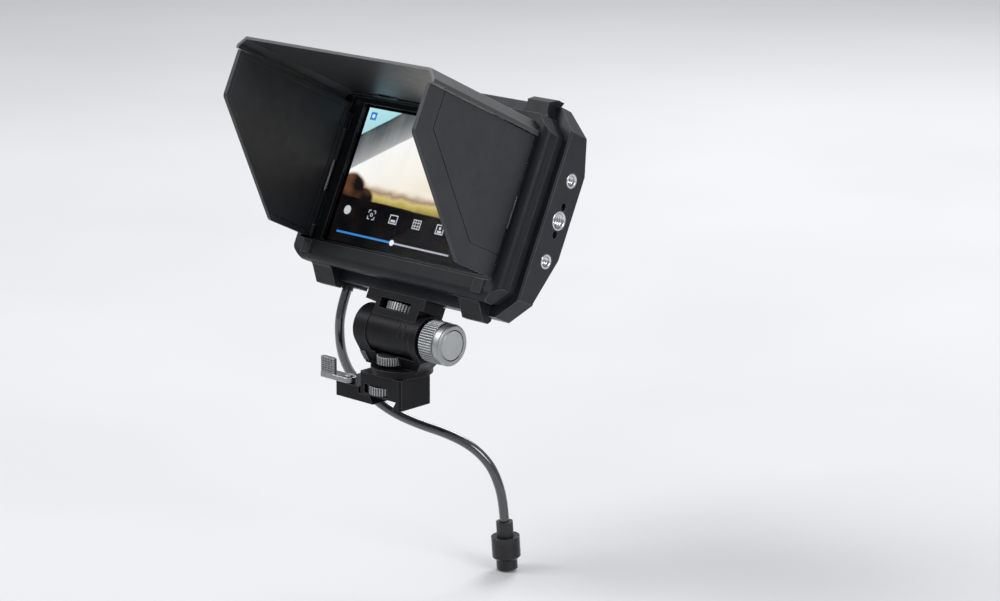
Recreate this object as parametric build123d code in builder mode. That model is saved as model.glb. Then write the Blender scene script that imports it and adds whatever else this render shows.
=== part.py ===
from build123d import *
import math
import os

os.makedirs("parts", exist_ok=True)

# A six-inch camera field monitor in a metal cage, with a folding sun hood clipped to its
# front and a tilting mount below it. All sizes are millimetres.
#
# The monitor is drawn upright: x to the right of someone facing the screen, y away from
# them, z up, with y = 0 at the front of the hood's frame. LEAN then leans it back over the
# tilt axle. The mount is drawn in the assembly's own axes, whose origin is the middle of
# the rail clamp's foot.

# ---- Fits ----
RUN = 0.06  # radial clearance of a pin in a knuckle
GAP = 0.4  # clearance between parts that move past each other
SEAT = 0.15  # clearance between parts that are assembled face to face
TIGHT = 0.02  # clearance of a part that is pressed or glued in

# ---- Tilt ----
TILT_BACK = 26.0  # lean of the screen at rest, in degrees
AXLE_HEIGHT = 42.0  # tilt axle above the foot
AXLE_Y, AXLE_Z = 23.0, -82.0  # tilt axle as the upright monitor sees it

# ---- Display ----
ACTIVE_W, ACTIVE_H = 129.2, 80.8
GLASS_W, GLASS_H, GLASS_T = 140.0, 92.0, 1.0
PANEL_T = 2.0
PANEL_BORDER = 3.0
BACKLIGHT_T = 2.4
LEDGE_Y = 7.0  # front of the hood frame's inner ledge
HOOD_BACK_Y = 9.7  # back of the hood frame
BEZEL_Y = HOOD_BACK_Y + SEAT
SCREEN_RECESS = 1.2
GLASS_CORNER_R = 2.0
WINDOW_ROOM = 1.4  # how far the frame's window clears the picture, on each side

# ---- Cage ----
CAGE_W, CAGE_H = 168.0, 123.0
CAGE_CHAMFER, CAGE_EDGE = 12.5, 1.0
CAGE_FRONT_Y, CAGE_BACK_Y = 17.5, 39.5
CAGE_SIDE_WALL, CAGE_TOP_WALL = 9.5, 9.5
SLOPE_TOP_Z, SLOPE_TOP_Y = 29.0, 26.2  # where the back starts to slope, and its upper edge
SLOPE_LOW_Z, SLOPE_LOW_Y = -20.0, 30.0
SLOPE_FOOT_Z = -47.6  # the slope ends in a vertical face below this
BEZEL_W, BEZEL_TOP, BEZEL_LOW = 159.0, 52.4, -54.5
BEZEL_CHAMFER = 8.0
GASKET_T = 0.3
HOUSING_WALL = 2.0
HOUSING_INSET = 0.6  # how far the housing's back lies inside the cage's
COVER_SCREW_X, COVER_SCREW_Z, COVER_SCREW_R = CAGE_W / 2 - 18.0, 18.0, 1.6
COVER_HEAD_T, COVER_DRIVE, COVER_SCREW_L = 1.4, 0.9, 6.0
SLOT_W, SLOT_H, SLOT_PITCH, SLOTS = CAGE_W / 2 - 26.0, 1.8, 4.5, 9  # cooling slots
BUTTON_X, BUTTON_Y, BUTTON_R, BUTTON_PROUD = 44.0, 24.0, 3.0, 1.2
BUTTON_FLOOR, BUTTON_EDGE = 1.2, 0.4  # room under the button, and its bevel
BOARD_W, BOARD_H, BOARD_T = 118.0, 70.0, 1.6
BOARD_HOLE_X, BOARD_HOLE_Z, BOARD_HOLE_R = 54.0, 30.0, 1.3
BOARD_ROOM = 3.0  # between the backlight and the board
CHIP_W, CHIP_T, CHIPS = 12.0, 1.2, ((-30, 18), (24, 20), (38, -14), (-36, -12))
SMALL_CHIP_W, SMALL_CHIP_H, SMALL_CHIPS = 8.0, 5.0, ((-12, 26), (6, -27), (44, 10))
STANDOFF_R, STANDOFF_BORE_R, STANDOFF_L = 2.4, BOARD_HOLE_R - 0.2, 3.2
BOARD_HEAD_R, BOARD_HEAD_T, BOARD_SCREW_R, BOARD_SCREW_L = 2.2, 1.2, BOARD_HOLE_R - 0.3, 4.6
SINK_W, SINK_H, SINK_T = 34.0, 26.0, 1.6
FIN_T, FIN_L, FIN_PITCH, FINS = 1.2, 7.0, 3.4, 10
SOCKET_LOW = 4.0  # the socket's mouth above the cage's underside
SOCKET_TOP = -CAGE_H / 2 + CAGE_TOP_WALL - 1.0

# ---- Threads in the cage's sides ----
THREAD_Y = 30.0
QUARTER_Z = (23.9, -23.3)
QUARTER_R, QUARTER_OUTER_R = 2.6, 4.4  # 1/4"-20 minor radius and the insert's outside
THREE_EIGHTHS_Z = 0.5
THREE_EIGHTHS_R, THREE_EIGHTHS_OUTER_R = 3.95, 5.6
LOCATOR_PITCH = 16.2
LOCATOR_W, LOCATOR_L = 4.0, 4.6
THREAD_DEPTH = 8.0

# ---- Hood ----
FLAP_X = 74.85  # outside of a side flap
FLAP_T = 2.4
FLAP_TOP, FLAP_LOW = 39.5, -42.5
HOOD_DEPTH = 92.7
FLAP_FRONT_LOW = 12.1  # where the front edge turns into the slant
FLAP_FOOT_Y = -29.6  # where the slant meets the lower edge
FLAP_CORNER_R = 4.0
FLAP_BAND = 12.6  # width of the raised border
GROOVE_W, GROOVE_DEPTH = 0.6, 0.5
RIM_W, RIM_DEPTH = 3.0, 0.4
LEFT_HINGE_Y, RIGHT_HINGE_Y = 5.0, 1.9  # the flaps fold one in front of the other
KNUCKLE_R, PIN_R = 1.9, 0.9
FRAME_W, FRAME_TOP, FRAME_LOW = 164.0, 52.5, -56.0
FRAME_ROUND = 5.5
FRAME_CHAMFER = 9.0
OPENING_X, OPENING_TOP, OPENING_LOW = 75.9, 45.0, -44.0
FRAME_KNUCKLES = ((24.0, 34.0), (-35.0, -14.0))
FLAP_KNUCKLES = ((4.8, 24.0 - GAP), (-42.0, -35.0 - GAP))
SPRING_R, SPRING_LOW, SPRING_HIGH = 1.5, -14.0 + GAP, 4.8 - GAP
TOP_OUTER, TOP_EDGE, LIP_LOW = 47.6, 42.3, 39.8
TOP_X = 76.85
TOP_WALL = 1.6
TOP_HINGE_Y, TOP_HINGE_Z = -2.6, 46.8
TOP_BACK_Y = -GAP
STEP_Y, STEP_Z = -82.0, 40.2  # the lips are shallower in front of the step
TOP_KNUCKLE_L, TOP_KNUCKLE_PITCH = 9.0, 42.0
GUARD_W, GUARD_H, GUARD_T = 7.0, 8.0, 1.2  # over the side hinges' lower ends
GUARD_INSET, GUARD_DROP = 8.0, 4.4  # its middle, from the opening's side and lower edge

# ---- Hooks that hold the hood on the cage ----
UPPER_HOOK_X, LOWER_HOOK_X = 60.0, 58.4
HOOK_FLANK_R = 9.0
UPPER_HOOK_W, LOWER_HOOK_W = 22.0, 15.8
HOOK_REACH = 3.2  # how far a hook stands out past the cage
HOOK_FRONT, HOOK_CLAW = 5.0, 3.5  # its start on the frame, and its end behind the cage's front
HOOK_SCOOP, HOOK_WAIST = 3.2, 5.0  # how deep its flanks are hollowed, and how far down

# ---- Head ----
DRUM_R, DRUM_LEFT, DRUM_RIGHT = 12.6, -13.6, 20.5
HEAD_D, HEAD_TOP = 22.0, -61.8
PLATE_LEFT, PLATE_RIGHT, PLATE_T = -22.0, 23.4, 6.6
PLATE_CHAMFER = 4.5  # of the plate's rear corners
WHEEL_R, WHEEL_T, WHEEL_TEETH, WHEEL_GROOVE = 10.6, 4.6, 36, 0.45
HEAD_WHEEL_Z = -71.4
HEAD_SLOT_LEFT, HEAD_SLOT_RIGHT, HEAD_SLOT_ROOM = -10.4, 13.4, 1.1
STUD_R, STUD_REACH = 3.05, 6.0
SPLIT_X, SPLIT_W, SPLIT_H = (11.2, 15.4), 0.7, 8.0
DRUM_ROOM = 0.5  # between the drum and the yoke's floor

# ---- Yoke and knob ----
CHEEK_LEFT, CHEEK_RIGHT, CHEEK_R = -23.4, 25.5, 13.2
SLANT = 30.7  # lean of the slanted front, from upright
NECK_BACK = 9.0
CHEEK_CUT = 9.0  # bevel under the knob
AXLE_R, AXLE_HEAD_R, AXLE_HEAD_T, AXLE_EDGE, AXLE_SHORT = 4.0, 8.0, 2.5, 0.6, 1.0
WASHER_R = 8.8
KNOB_R, KNOB_FACE_R, KNOB_START, KNOB_L = 12.2, 11.4, 27.0, 16.0
KNOB_TEETH, KNURL_L, KNOB_DEPTH = 48, 10.6, 12.0
KNOB_RELIEF = 0.1  # how much the plain ring is smaller than the knurl
CAP_R, CAP_DEPTH, CAP_SUNK, CAP_EDGE = 8.6, 2.0, 0.2, 0.3
SWIVEL_Y = 3.0  # the swivel's axis stands behind the tilt axle
TURNTABLE_R, TURNTABLE_Z, TURNTABLE_T = 18.0, 18.4, 4.0
POST_R, POST_LOW = 5.0, 12.4
SWIVEL_WASHER_R, SWIVEL_WASHER_PLAY = 8.0, 0.05
SWIVEL_WHEEL_X, SWIVEL_WHEEL_Y, SWIVEL_WHEEL_R, SWIVEL_WHEEL_Z = -1.6, -4.2, 8.2, 24.4
INDEX_W, INDEX_L, INDEX_T, INDEX_DROP = 4.4, 7.0, 0.6, 2.4  # a plate on the slanted front
SWIVEL_STUD_R, WHEEL_EDGE = 2.0, 0.2

# ---- Rail clamp ----
BASE_LEFT, BASE_RIGHT, BASE_Y, BASE_H = -19.0, 14.0, 13.0, 18.0
BASE_EDGE = 1.5
RAIL_W, RAIL_NECK, RAIL_DEPTH = 21.2, 15.6, 5.0
BASE_WHEEL_X, BASE_WHEEL_Y, BASE_WHEEL_R, BASE_WHEEL_Z = -5.2, -5.4, 9.4, 6.4
BASE_STUD_L = 1.2  # how far its stud stands above it
JAW_LEFT, JAW_H, LIP_ROOT = -39.0, 8.5, 1.0
JAW_ROD_Y, JAW_ROD_Z, JAW_ROD_R, JAW_ROD_L = (4.6, 10.4), 6.8, 1.4, 8.0
JAW_ROD_SHORT = 1.0  # room at the end of a rod's hole
LEVER_Y, LEVER_PIVOT_X, LEVER_PIN_R = -10.0, -30.0, 1.8
LEVER_T, LEVER_W, LEVER_REACH = 3.0, 8.0, 19.5
LEVER_PAD_L, LEVER_PAD_H, LEVER_PAD_T, LEVER_PAD_ROUND = 11.0, 12.5, 3.0, 0.8
LEVER_PIN_LOW, LEVER_HEAD_R, LEVER_HEAD_T = 0.5, 2.6, 0.8

# ---- Cable ----
CORD_R = 2.9
CORD_EXIT_X, CORD_EXIT_Y = -52.0, 26.4
PLUG_W, PLUG_D, PLUG_T, BOOT_L = 23.0, 6.4, 1.6, 2.0
PLUG_OFFSET = 1.0  # from the cable to the middle of its plug
PLUG_DEPTH = 3.8  # how far the plug goes into the cage
BOOT_WALL = 0.5
CORD_LEAD = 14.0  # the straight start of the cable
COLLAR_R, COLLAR_L = 5.0, 9.0
CONNECTOR_R, CONNECTOR_L, CONNECTOR_EDGE = 8.5, 14.0, 1.5
TONGUE_R, TONGUE_BORE_R, TONGUE_L = 6.3, 4.9, 6.0

LEAN = Location((0, 0, AXLE_HEIGHT)) * Location((0, 0, 0), (-TILT_BACK, 0, 0))
LEAN = LEAN * Location((0, -AXLE_Y, -AXLE_Z))
UPRIGHT = Location((0, 0, 0))


def save(part, label, at=UPRIGHT):
    """Writes one finished piece in the assembly's axes, under its own name."""
    placed = part.moved(at)
    placed.label = label
    export_step(placed, f"parts/{label}.step")


def octagon(left, right, low, high, cut):
    """The corners of a rectangle whose four corners are cut off at 45 degrees."""
    return [
        (left + cut, low),
        (right - cut, low),
        (right, low + cut),
        (right, high - cut),
        (right - cut, high),
        (left + cut, high),
        (left, high - cut),
        (left, low + cut),
    ]


def upright_plane(y):
    """A plane that faces away from the viewer at depth y, with its own y axis up."""
    return Plane((0, y, 0), x_dir=(-1, 0, 0), z_dir=(0, 1, 0))


def side_plane(x):
    """A plane across the monitor at x, whose axes run along y and z."""
    return Plane((x, 0, 0), x_dir=(0, 1, 0), z_dir=(1, 0, 0))


def fluted_disc(radius, teeth, depth):
    """The outline of a knurled wheel, as a face with a round scoop for each tooth gap."""
    scoop = math.pi * radius / teeth * 0.62
    with BuildSketch() as outline:
        Circle(radius)
        with PolarLocations(radius + scoop - depth, teeth):
            Circle(scoop, mode=Mode.SUBTRACT)
    return outline.sketch


# ================= The cage and the monitor in it =================

back_line = [
    (CAGE_FRONT_Y, -CAGE_H / 2),
    (SLOPE_LOW_Y, -CAGE_H / 2),
    (SLOPE_LOW_Y, SLOPE_FOOT_Z),
    (CAGE_BACK_Y, SLOPE_LOW_Z),
    (CAGE_BACK_Y, SLOPE_TOP_Z),
    (SLOPE_TOP_Y, CAGE_H / 2),
    (CAGE_FRONT_Y, CAGE_H / 2),
]
cage_outline = octagon(-CAGE_W / 2, CAGE_W / 2, -CAGE_H / 2, CAGE_H / 2, CAGE_CHAMFER)
bay_x, bay_z = CAGE_W / 2 - CAGE_SIDE_WALL, CAGE_H / 2 - CAGE_TOP_WALL
bay_cut = CAGE_CHAMFER - CAGE_TOP_WALL / 2

with BuildPart() as cage:
    with BuildSketch(side_plane(-CAGE_W / 2)):
        with BuildLine():
            Polyline(*back_line, close=True)
        make_face()
    extrude(amount=CAGE_W)
    with BuildSketch(upright_plane(CAGE_FRONT_Y)):
        with BuildLine():
            Polyline(*cage_outline, close=True)
        make_face()
    extrude(amount=CAGE_BACK_Y - CAGE_FRONT_Y, mode=Mode.INTERSECT)
    chamfer(cage.edges().filter_by(Axis.Z).group_by(Axis.Y)[0], length=CAGE_EDGE)
    with BuildSketch(upright_plane(CAGE_FRONT_Y)):
        with BuildLine():
            Polyline(*octagon(-bay_x, bay_x, -bay_z, bay_z, bay_cut), close=True)
        make_face()
    extrude(amount=CAGE_BACK_Y - CAGE_FRONT_Y, mode=Mode.SUBTRACT)
    # Holes for the thread inserts and the locating slots, in both sides.
    for side in (-1, 1):
        face = Plane((side * CAGE_W / 2, THREAD_Y, 0), x_dir=(0, 1, 0), z_dir=(side, 0, 0))
        up = 1 if side > 0 else -1
        with BuildSketch(face):
            with Locations((0, up * QUARTER_Z[0]), (0, up * QUARTER_Z[1])):
                Circle(QUARTER_OUTER_R)
            with Locations((0, up * THREE_EIGHTHS_Z)):
                Circle(THREE_EIGHTHS_OUTER_R)
        extrude(amount=-CAGE_SIDE_WALL, mode=Mode.SUBTRACT)
        with BuildSketch(face):
            with Locations(*[(0, up * (THREE_EIGHTHS_Z + s * LOCATOR_PITCH / 2)) for s in (-1, 1)]):
                SlotOverall(LOCATOR_L, LOCATOR_W, rotation=90)
        extrude(amount=-THREAD_DEPTH / 2, mode=Mode.SUBTRACT)
    # The mount's screw hole and the cable's socket, through the bottom wall.
    with BuildSketch(Plane((0, 0, -CAGE_H / 2), x_dir=(1, 0, 0), z_dir=(0, 0, 1))):
        with Locations((0, AXLE_Y)):
            Circle(STUD_R + RUN)
        with Locations((CORD_EXIT_X + PLUG_OFFSET, CORD_EXIT_Y)):
            Rectangle(PLUG_W + 2 * SEAT, PLUG_D + 2 * SEAT)
    extrude(amount=CAGE_TOP_WALL, mode=Mode.SUBTRACT)
    with BuildSketch(Plane.XY.offset(CAGE_H / 2)):
        with Locations((BUTTON_X, BUTTON_Y)):
            Circle(BUTTON_R + GAP)
    extrude(amount=-CAGE_TOP_WALL / 2, mode=Mode.SUBTRACT)
save(cage.part, "cage", LEAN)

# The plated thread inserts, set flush with the cage's sides.
for size, heights, bore_r, outer_r in (
    ("quarter_inch", QUARTER_Z, QUARTER_R, QUARTER_OUTER_R),
    ("three_eighths", (THREE_EIGHTHS_Z,), THREE_EIGHTHS_R, THREE_EIGHTHS_OUTER_R),
):
    with BuildPart() as inserts:
        for side in (-1, 1):
            for height in heights:
                mouth = Plane((side * CAGE_W / 2, THREAD_Y, height), x_dir=(0, 1, 0), z_dir=(side, 0, 0))
                with BuildSketch(mouth):
                    Circle(outer_r - TIGHT)
                    Circle(bore_r, mode=Mode.SUBTRACT)
                extrude(amount=-THREAD_DEPTH)
    save(inserts.part, f"{size}_inserts", LEAN)

bezel_outline = octagon(-BEZEL_W / 2, BEZEL_W / 2, BEZEL_LOW, BEZEL_TOP, BEZEL_CHAMFER)
gasket_y = CAGE_FRONT_Y - GASKET_T
with BuildPart() as front_bezel:
    with BuildSketch(upright_plane(BEZEL_Y)):
        with BuildLine():
            Polyline(*bezel_outline, close=True)
        make_face()
        Rectangle(ACTIVE_W + 2 * PANEL_BORDER + 1, ACTIVE_H + 2 * PANEL_BORDER + 1, mode=Mode.SUBTRACT)
    extrude(amount=gasket_y - BEZEL_Y)
    with BuildSketch(upright_plane(BEZEL_Y)):
        Rectangle(GLASS_W + 2 * SEAT, GLASS_H + 2 * SEAT)
    extrude(amount=SCREEN_RECESS, mode=Mode.SUBTRACT)
save(front_bezel.part, "front_bezel", LEAN)

glass_back = BEZEL_Y + SCREEN_RECESS
with BuildPart() as cover_glass:
    with BuildSketch(upright_plane(glass_back - GLASS_T)):
        RectangleRounded(GLASS_W, GLASS_H, GLASS_CORNER_R)
    extrude(amount=GLASS_T)
save(cover_glass.part, "cover_glass", LEAN)

panel_back = glass_back + SEAT + PANEL_T
with BuildPart() as lcd_panel:
    with BuildSketch(upright_plane(glass_back + SEAT)):
        Rectangle(ACTIVE_W + 2 * PANEL_BORDER, ACTIVE_H + 2 * PANEL_BORDER)
    extrude(amount=PANEL_T)
save(lcd_panel.part, "lcd_panel", LEAN)

with BuildPart() as backlight:
    with BuildSketch(upright_plane(panel_back + SEAT)):
        Rectangle(ACTIVE_W + 2 * PANEL_BORDER, ACTIVE_H + 2 * PANEL_BORDER)
    extrude(amount=BACKLIGHT_T)
save(backlight.part, "backlight", LEAN)

housing_x, housing_z = bay_x - SEAT, bay_z - SEAT
housing_outline = octagon(-housing_x, housing_x, -housing_z, housing_z, bay_cut)
with BuildPart() as housing_gasket:
    with BuildSketch(upright_plane(gasket_y)):
        with BuildLine():
            Polyline(*housing_outline, close=True)
        make_face()
        with BuildLine():
            inner_x, inner_z = housing_x - HOUSING_WALL, housing_z - HOUSING_WALL
            Polyline(*octagon(-inner_x, inner_x, -inner_z, inner_z, bay_cut), close=True)
        make_face(mode=Mode.SUBTRACT)
    extrude(amount=GASKET_T)
save(housing_gasket.part, "housing_gasket", LEAN)

# The rear housing is a shell that fills the cage's bay, with the same sloped back.
housing_back = [(y - HOUSING_INSET if y > CAGE_FRONT_Y else y, z) for y, z in back_line]
with BuildPart() as rear_housing:
    with BuildSketch(side_plane(-housing_x)):
        with BuildLine():
            Polyline(*housing_back, close=True)
        make_face()
    extrude(amount=2 * housing_x)
    with BuildSketch(upright_plane(CAGE_FRONT_Y)):
        with BuildLine():
            Polyline(*housing_outline, close=True)
        make_face()
    extrude(amount=CAGE_BACK_Y - CAGE_FRONT_Y, mode=Mode.INTERSECT)
    front_face = rear_housing.faces().sort_by(Axis.Y)[0]
    offset(amount=-HOUSING_WALL, openings=front_face)
    # Cooling slots in the flat of the back.
    slot_z = (SLOPE_TOP_Z + SLOPE_LOW_Z) / 2
    with BuildSketch(upright_plane(CAGE_BACK_Y - 2 * HOUSING_WALL)):
        with GridLocations(0, SLOT_PITCH, 1, SLOTS):
            with Locations((0, slot_z)):
                SlotOverall(SLOT_W, SLOT_H)
    extrude(amount=4 * HOUSING_WALL, mode=Mode.SUBTRACT)
    with BuildSketch(upright_plane(CAGE_BACK_Y - 2 * HOUSING_WALL)):
        with Locations((0, slot_z)):
            with GridLocations(2 * COVER_SCREW_X, 2 * COVER_SCREW_Z, 2, 2):
                Circle(COVER_SCREW_R + SEAT)
    extrude(amount=4 * HOUSING_WALL, mode=Mode.SUBTRACT)
save(rear_housing.part, "rear_housing", LEAN)

board_y = panel_back + SEAT + BACKLIGHT_T + BOARD_ROOM
with BuildPart() as mainboard:
    with BuildSketch(upright_plane(board_y)):
        Rectangle(BOARD_W, BOARD_H)
        with GridLocations(2 * BOARD_HOLE_X, 2 * BOARD_HOLE_Z, 2, 2):
            Circle(BOARD_HOLE_R, mode=Mode.SUBTRACT)
    extrude(amount=BOARD_T)
    with BuildSketch(upright_plane(board_y + BOARD_T)):
        with Locations(*CHIPS):
            Rectangle(CHIP_W, CHIP_W)
        with Locations(*SMALL_CHIPS):
            Rectangle(SMALL_CHIP_W, SMALL_CHIP_H)
    extrude(amount=CHIP_T)
save(mainboard.part, "mainboard", LEAN)

with BuildPart() as board_standoffs:
    with BuildSketch(upright_plane(board_y + BOARD_T + SEAT)):
        with GridLocations(2 * BOARD_HOLE_X, 2 * BOARD_HOLE_Z, 2, 2):
            Circle(STANDOFF_R)
            Circle(STANDOFF_BORE_R, mode=Mode.SUBTRACT)
    extrude(amount=STANDOFF_L)
save(board_standoffs.part, "board_standoffs", LEAN)

with BuildPart() as board_screws:
    with BuildSketch(upright_plane(board_y - SEAT)):
        with GridLocations(2 * BOARD_HOLE_X, 2 * BOARD_HOLE_Z, 2, 2):
            Circle(BOARD_HEAD_R)
    extrude(amount=-BOARD_HEAD_T)
    with BuildSketch(upright_plane(board_y - SEAT)):
        with GridLocations(2 * BOARD_HOLE_X, 2 * BOARD_HOLE_Z, 2, 2):
            Circle(BOARD_SCREW_R)
    extrude(amount=BOARD_SCREW_L)
save(board_screws.part, "board_screws", LEAN)

sink_y = board_y + BOARD_T + SEAT
with BuildPart() as heat_sink:
    with BuildSketch(upright_plane(sink_y)):
        Rectangle(SINK_W, SINK_H)
    extrude(amount=SINK_T)
    with BuildSketch(upright_plane(sink_y + SINK_T)):
        with GridLocations(FIN_PITCH, 0, FINS, 1):
            Rectangle(FIN_T, SINK_H)
    extrude(amount=FIN_L)
save(heat_sink.part, "heat_sink", LEAN)

socket_x, socket_z = CORD_EXIT_X + PLUG_OFFSET, -CAGE_H / 2 + SOCKET_LOW
with BuildPart() as video_socket:
    with BuildSketch(Plane((socket_x, CORD_EXIT_Y, socket_z), x_dir=(1, 0, 0), z_dir=(0, 0, 1))):
        Rectangle(PLUG_W, PLUG_D)
    extrude(amount=SOCKET_TOP - socket_z)
save(video_socket.part, "video_socket", LEAN)

cover_back = CAGE_BACK_Y - HOUSING_INSET
with BuildPart() as cover_screws:
    with BuildSketch(upright_plane(cover_back)):
        with Locations((0, slot_z)):
            with GridLocations(2 * COVER_SCREW_X, 2 * COVER_SCREW_Z, 2, 2):
                Circle(2 * COVER_SCREW_R)
    extrude(amount=COVER_HEAD_T)
    with BuildSketch(upright_plane(cover_back + COVER_HEAD_T)):
        with Locations((0, slot_z)):
            with GridLocations(2 * COVER_SCREW_X, 2 * COVER_SCREW_Z, 2, 2):
                RegularPolygon(0.85 * COVER_SCREW_R, 6)
    extrude(amount=-COVER_DRIVE, mode=Mode.SUBTRACT)
    with BuildSketch(upright_plane(cover_back)):
        with Locations((0, slot_z)):
            with GridLocations(2 * COVER_SCREW_X, 2 * COVER_SCREW_Z, 2, 2):
                Circle(COVER_SCREW_R)
    extrude(amount=-COVER_SCREW_L)
save(cover_screws.part, "cover_screws", LEAN)

with BuildPart() as power_button:
    with BuildSketch(Plane.XY.offset(CAGE_H / 2 + BUTTON_PROUD)):
        with Locations((BUTTON_X, BUTTON_Y)):
            Circle(BUTTON_R)
    extrude(amount=-(CAGE_TOP_WALL / 2 + BUTTON_PROUD - BUTTON_FLOOR))
    chamfer(power_button.edges().group_by(Axis.Z)[-1], length=BUTTON_EDGE)
save(power_button.part, "power_button", LEAN)

# ================= The hood's frame and hooks =================

hinge_x = FLAP_X - FLAP_T / 2
hinge_at = {-1: LEFT_HINGE_Y, 1: RIGHT_HINGE_Y}
window_x = ACTIVE_W / 2 + WINDOW_ROOM
top_knuckle_x = (-TOP_KNUCKLE_PITCH, TOP_KNUCKLE_PITCH)

with BuildPart() as hood_frame:
    with BuildSketch(Plane.XY.offset(FRAME_LOW)) as plan:
        with Locations((0, HOOD_BACK_Y / 2)):
            Rectangle(FRAME_W, HOOD_BACK_Y)
        fillet(plan.vertices().group_by(Axis.Y)[0], FRAME_ROUND)
    extrude(amount=FRAME_TOP - FRAME_LOW)
    with BuildSketch(side_plane(-FRAME_W / 2)) as section:
        with Locations((HOOD_BACK_Y / 2, (FRAME_TOP + FRAME_LOW) / 2)):
            Rectangle(HOOD_BACK_Y, FRAME_TOP - FRAME_LOW)
        # In the sketch, x runs along the frame's depth and y runs up it.
        low_corners = section.vertices().group_by(Axis.Y)[0].sort_by(Axis.X)
        fillet(low_corners[0], FRAME_ROUND)
    extrude(amount=FRAME_W, mode=Mode.INTERSECT)
    with BuildSketch(upright_plane(0)):
        with BuildLine():
            Polyline(
                *octagon(-FRAME_W / 2, FRAME_W / 2, FRAME_LOW, FRAME_TOP, FRAME_CHAMFER), close=True
            )
        make_face()
    extrude(amount=HOOD_BACK_Y, mode=Mode.INTERSECT)
    with BuildSketch(upright_plane(0)):
        with Locations((0, (OPENING_TOP + OPENING_LOW) / 2)):
            Rectangle(2 * OPENING_X, OPENING_TOP - OPENING_LOW)
    extrude(amount=LEDGE_Y, mode=Mode.SUBTRACT)
    with BuildSketch(upright_plane(LEDGE_Y)):
        Rectangle(2 * window_x, ACTIVE_H + 2 * WINDOW_ROOM)
    extrude(amount=HOOD_BACK_Y - LEDGE_Y, mode=Mode.SUBTRACT)
    # Knuckles of the two side hinges, each on a web that stands on the ledge.
    for side, hinge_y in hinge_at.items():
        for low, high in FRAME_KNUCKLES:
            with BuildSketch(Plane.XY.offset(low)):
                with Locations((side * hinge_x, hinge_y)):
                    Circle(KNUCKLE_R)
                web_x = (hinge_x - KNUCKLE_R / 2 + OPENING_X) / 2
                with Locations((side * web_x, (hinge_y + LEDGE_Y) / 2)):
                    Rectangle(OPENING_X - hinge_x + KNUCKLE_R / 2, LEDGE_Y - hinge_y)
                with Locations((side * hinge_x, hinge_y)):
                    Circle(PIN_R + TIGHT, mode=Mode.SUBTRACT)
            extrude(amount=high - low)
    # Knuckles of the top hinge, on arms that stand on the frame's front.
    for x in top_knuckle_x:
        with BuildSketch(side_plane(x - TOP_KNUCKLE_L / 2)):
            with Locations((TOP_HINGE_Y, TOP_HINGE_Z)):
                Circle(KNUCKLE_R)
            with Locations((TOP_HINGE_Y / 2, TOP_HINGE_Z + KNUCKLE_R / 2)):
                Rectangle(-TOP_HINGE_Y, KNUCKLE_R)
            with Locations((TOP_HINGE_Y, TOP_HINGE_Z)):
                Circle(PIN_R + TIGHT, mode=Mode.SUBTRACT)
        extrude(amount=TOP_KNUCKLE_L)
    # Small guards over the lower ends of the side hinges.
    for side in (-1, 1):
        with BuildSketch(upright_plane(0)):
            with Locations((side * (OPENING_X - GUARD_INSET), OPENING_LOW - GUARD_DROP)):
                Rectangle(GUARD_W, GUARD_H)
        extrude(amount=-GUARD_T)
save(hood_frame.part, "hood_frame", LEAN)

hook_top = CAGE_H / 2 + HOOK_REACH
hook_seat = CAGE_H / 2 + 2 * SEAT
hook_end = CAGE_FRONT_Y + HOOK_CLAW
upper_hook = [
    (HOOK_FRONT, FRAME_TOP + SEAT),
    (BEZEL_Y, FRAME_TOP + 1.0),
    (BEZEL_Y + 0.2, CAGE_H / 2 + 0.2),
    (CAGE_FRONT_Y - 1.6, hook_top),
    (hook_end, hook_top),
    (hook_end, hook_seat),
    (CAGE_FRONT_Y - 2 * SEAT, hook_seat),
    (CAGE_FRONT_Y - 2 * SEAT, FRAME_TOP + SEAT),
]
hook_foot = -CAGE_H / 2 - HOOK_REACH - 1.2
lower_hook = [
    (HOOK_FRONT, FRAME_LOW - SEAT),
    (7.0, FRAME_LOW - 1.2),
    (CAGE_FRONT_Y - 2.8, hook_foot),
    (hook_end - 2.0, hook_foot),
    (hook_end, hook_foot + 2.0),
    (hook_end, -hook_seat),
    (CAGE_FRONT_Y - 2 * SEAT, -hook_seat),
    (CAGE_FRONT_Y - 2 * SEAT, FRAME_LOW - SEAT),
]
for label, profile, hook_x, width, waist in (
    ("upper_hooks", upper_hook, UPPER_HOOK_X, UPPER_HOOK_W, hook_top - HOOK_WAIST),
    ("lower_hooks", lower_hook, LOWER_HOOK_X, LOWER_HOOK_W, None),
):
    with BuildPart() as hooks:
        for x in (-hook_x, hook_x):
            with BuildSketch(side_plane(x - width / 2)):
                with BuildLine():
                    Polyline(*profile, close=True)
                make_face()
            extrude(amount=width)
        if waist:
            # The upper hooks' flanks are hollowed by round scoops.
            with BuildSketch(upright_plane(0)):
                for x in (-hook_x, hook_x):
                    for side in (-1, 1):
                        with Locations((x + side * (width / 2 + HOOK_FLANK_R - HOOK_SCOOP), waist)):
                            Circle(HOOK_FLANK_R)
            extrude(amount=CAGE_BACK_Y, mode=Mode.SUBTRACT)
    save(hooks.part, label, LEAN)

# ================= The hood's panels =================

slant_run, slant_rise = FLAP_FOOT_Y + HOOD_DEPTH, FLAP_FRONT_LOW - FLAP_LOW
slant_length = math.hypot(slant_run, slant_rise)
slant_ny, slant_nz = slant_rise / slant_length, slant_run / slant_length
slant_offset = -slant_ny * HOOD_DEPTH + slant_nz * FLAP_FRONT_LOW


def flap_outline(inset, back, top):
    """Corners of a side flap whose front, slanted and lower edges are moved in by inset."""
    front, low = inset - HOOD_DEPTH, FLAP_LOW + inset
    turn = (slant_offset + inset - slant_ny * front) / slant_nz
    foot = (slant_offset + inset - slant_nz * low) / slant_ny
    return [(back, low), (foot, low), (front, turn), (front, top), (back, top)]


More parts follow.
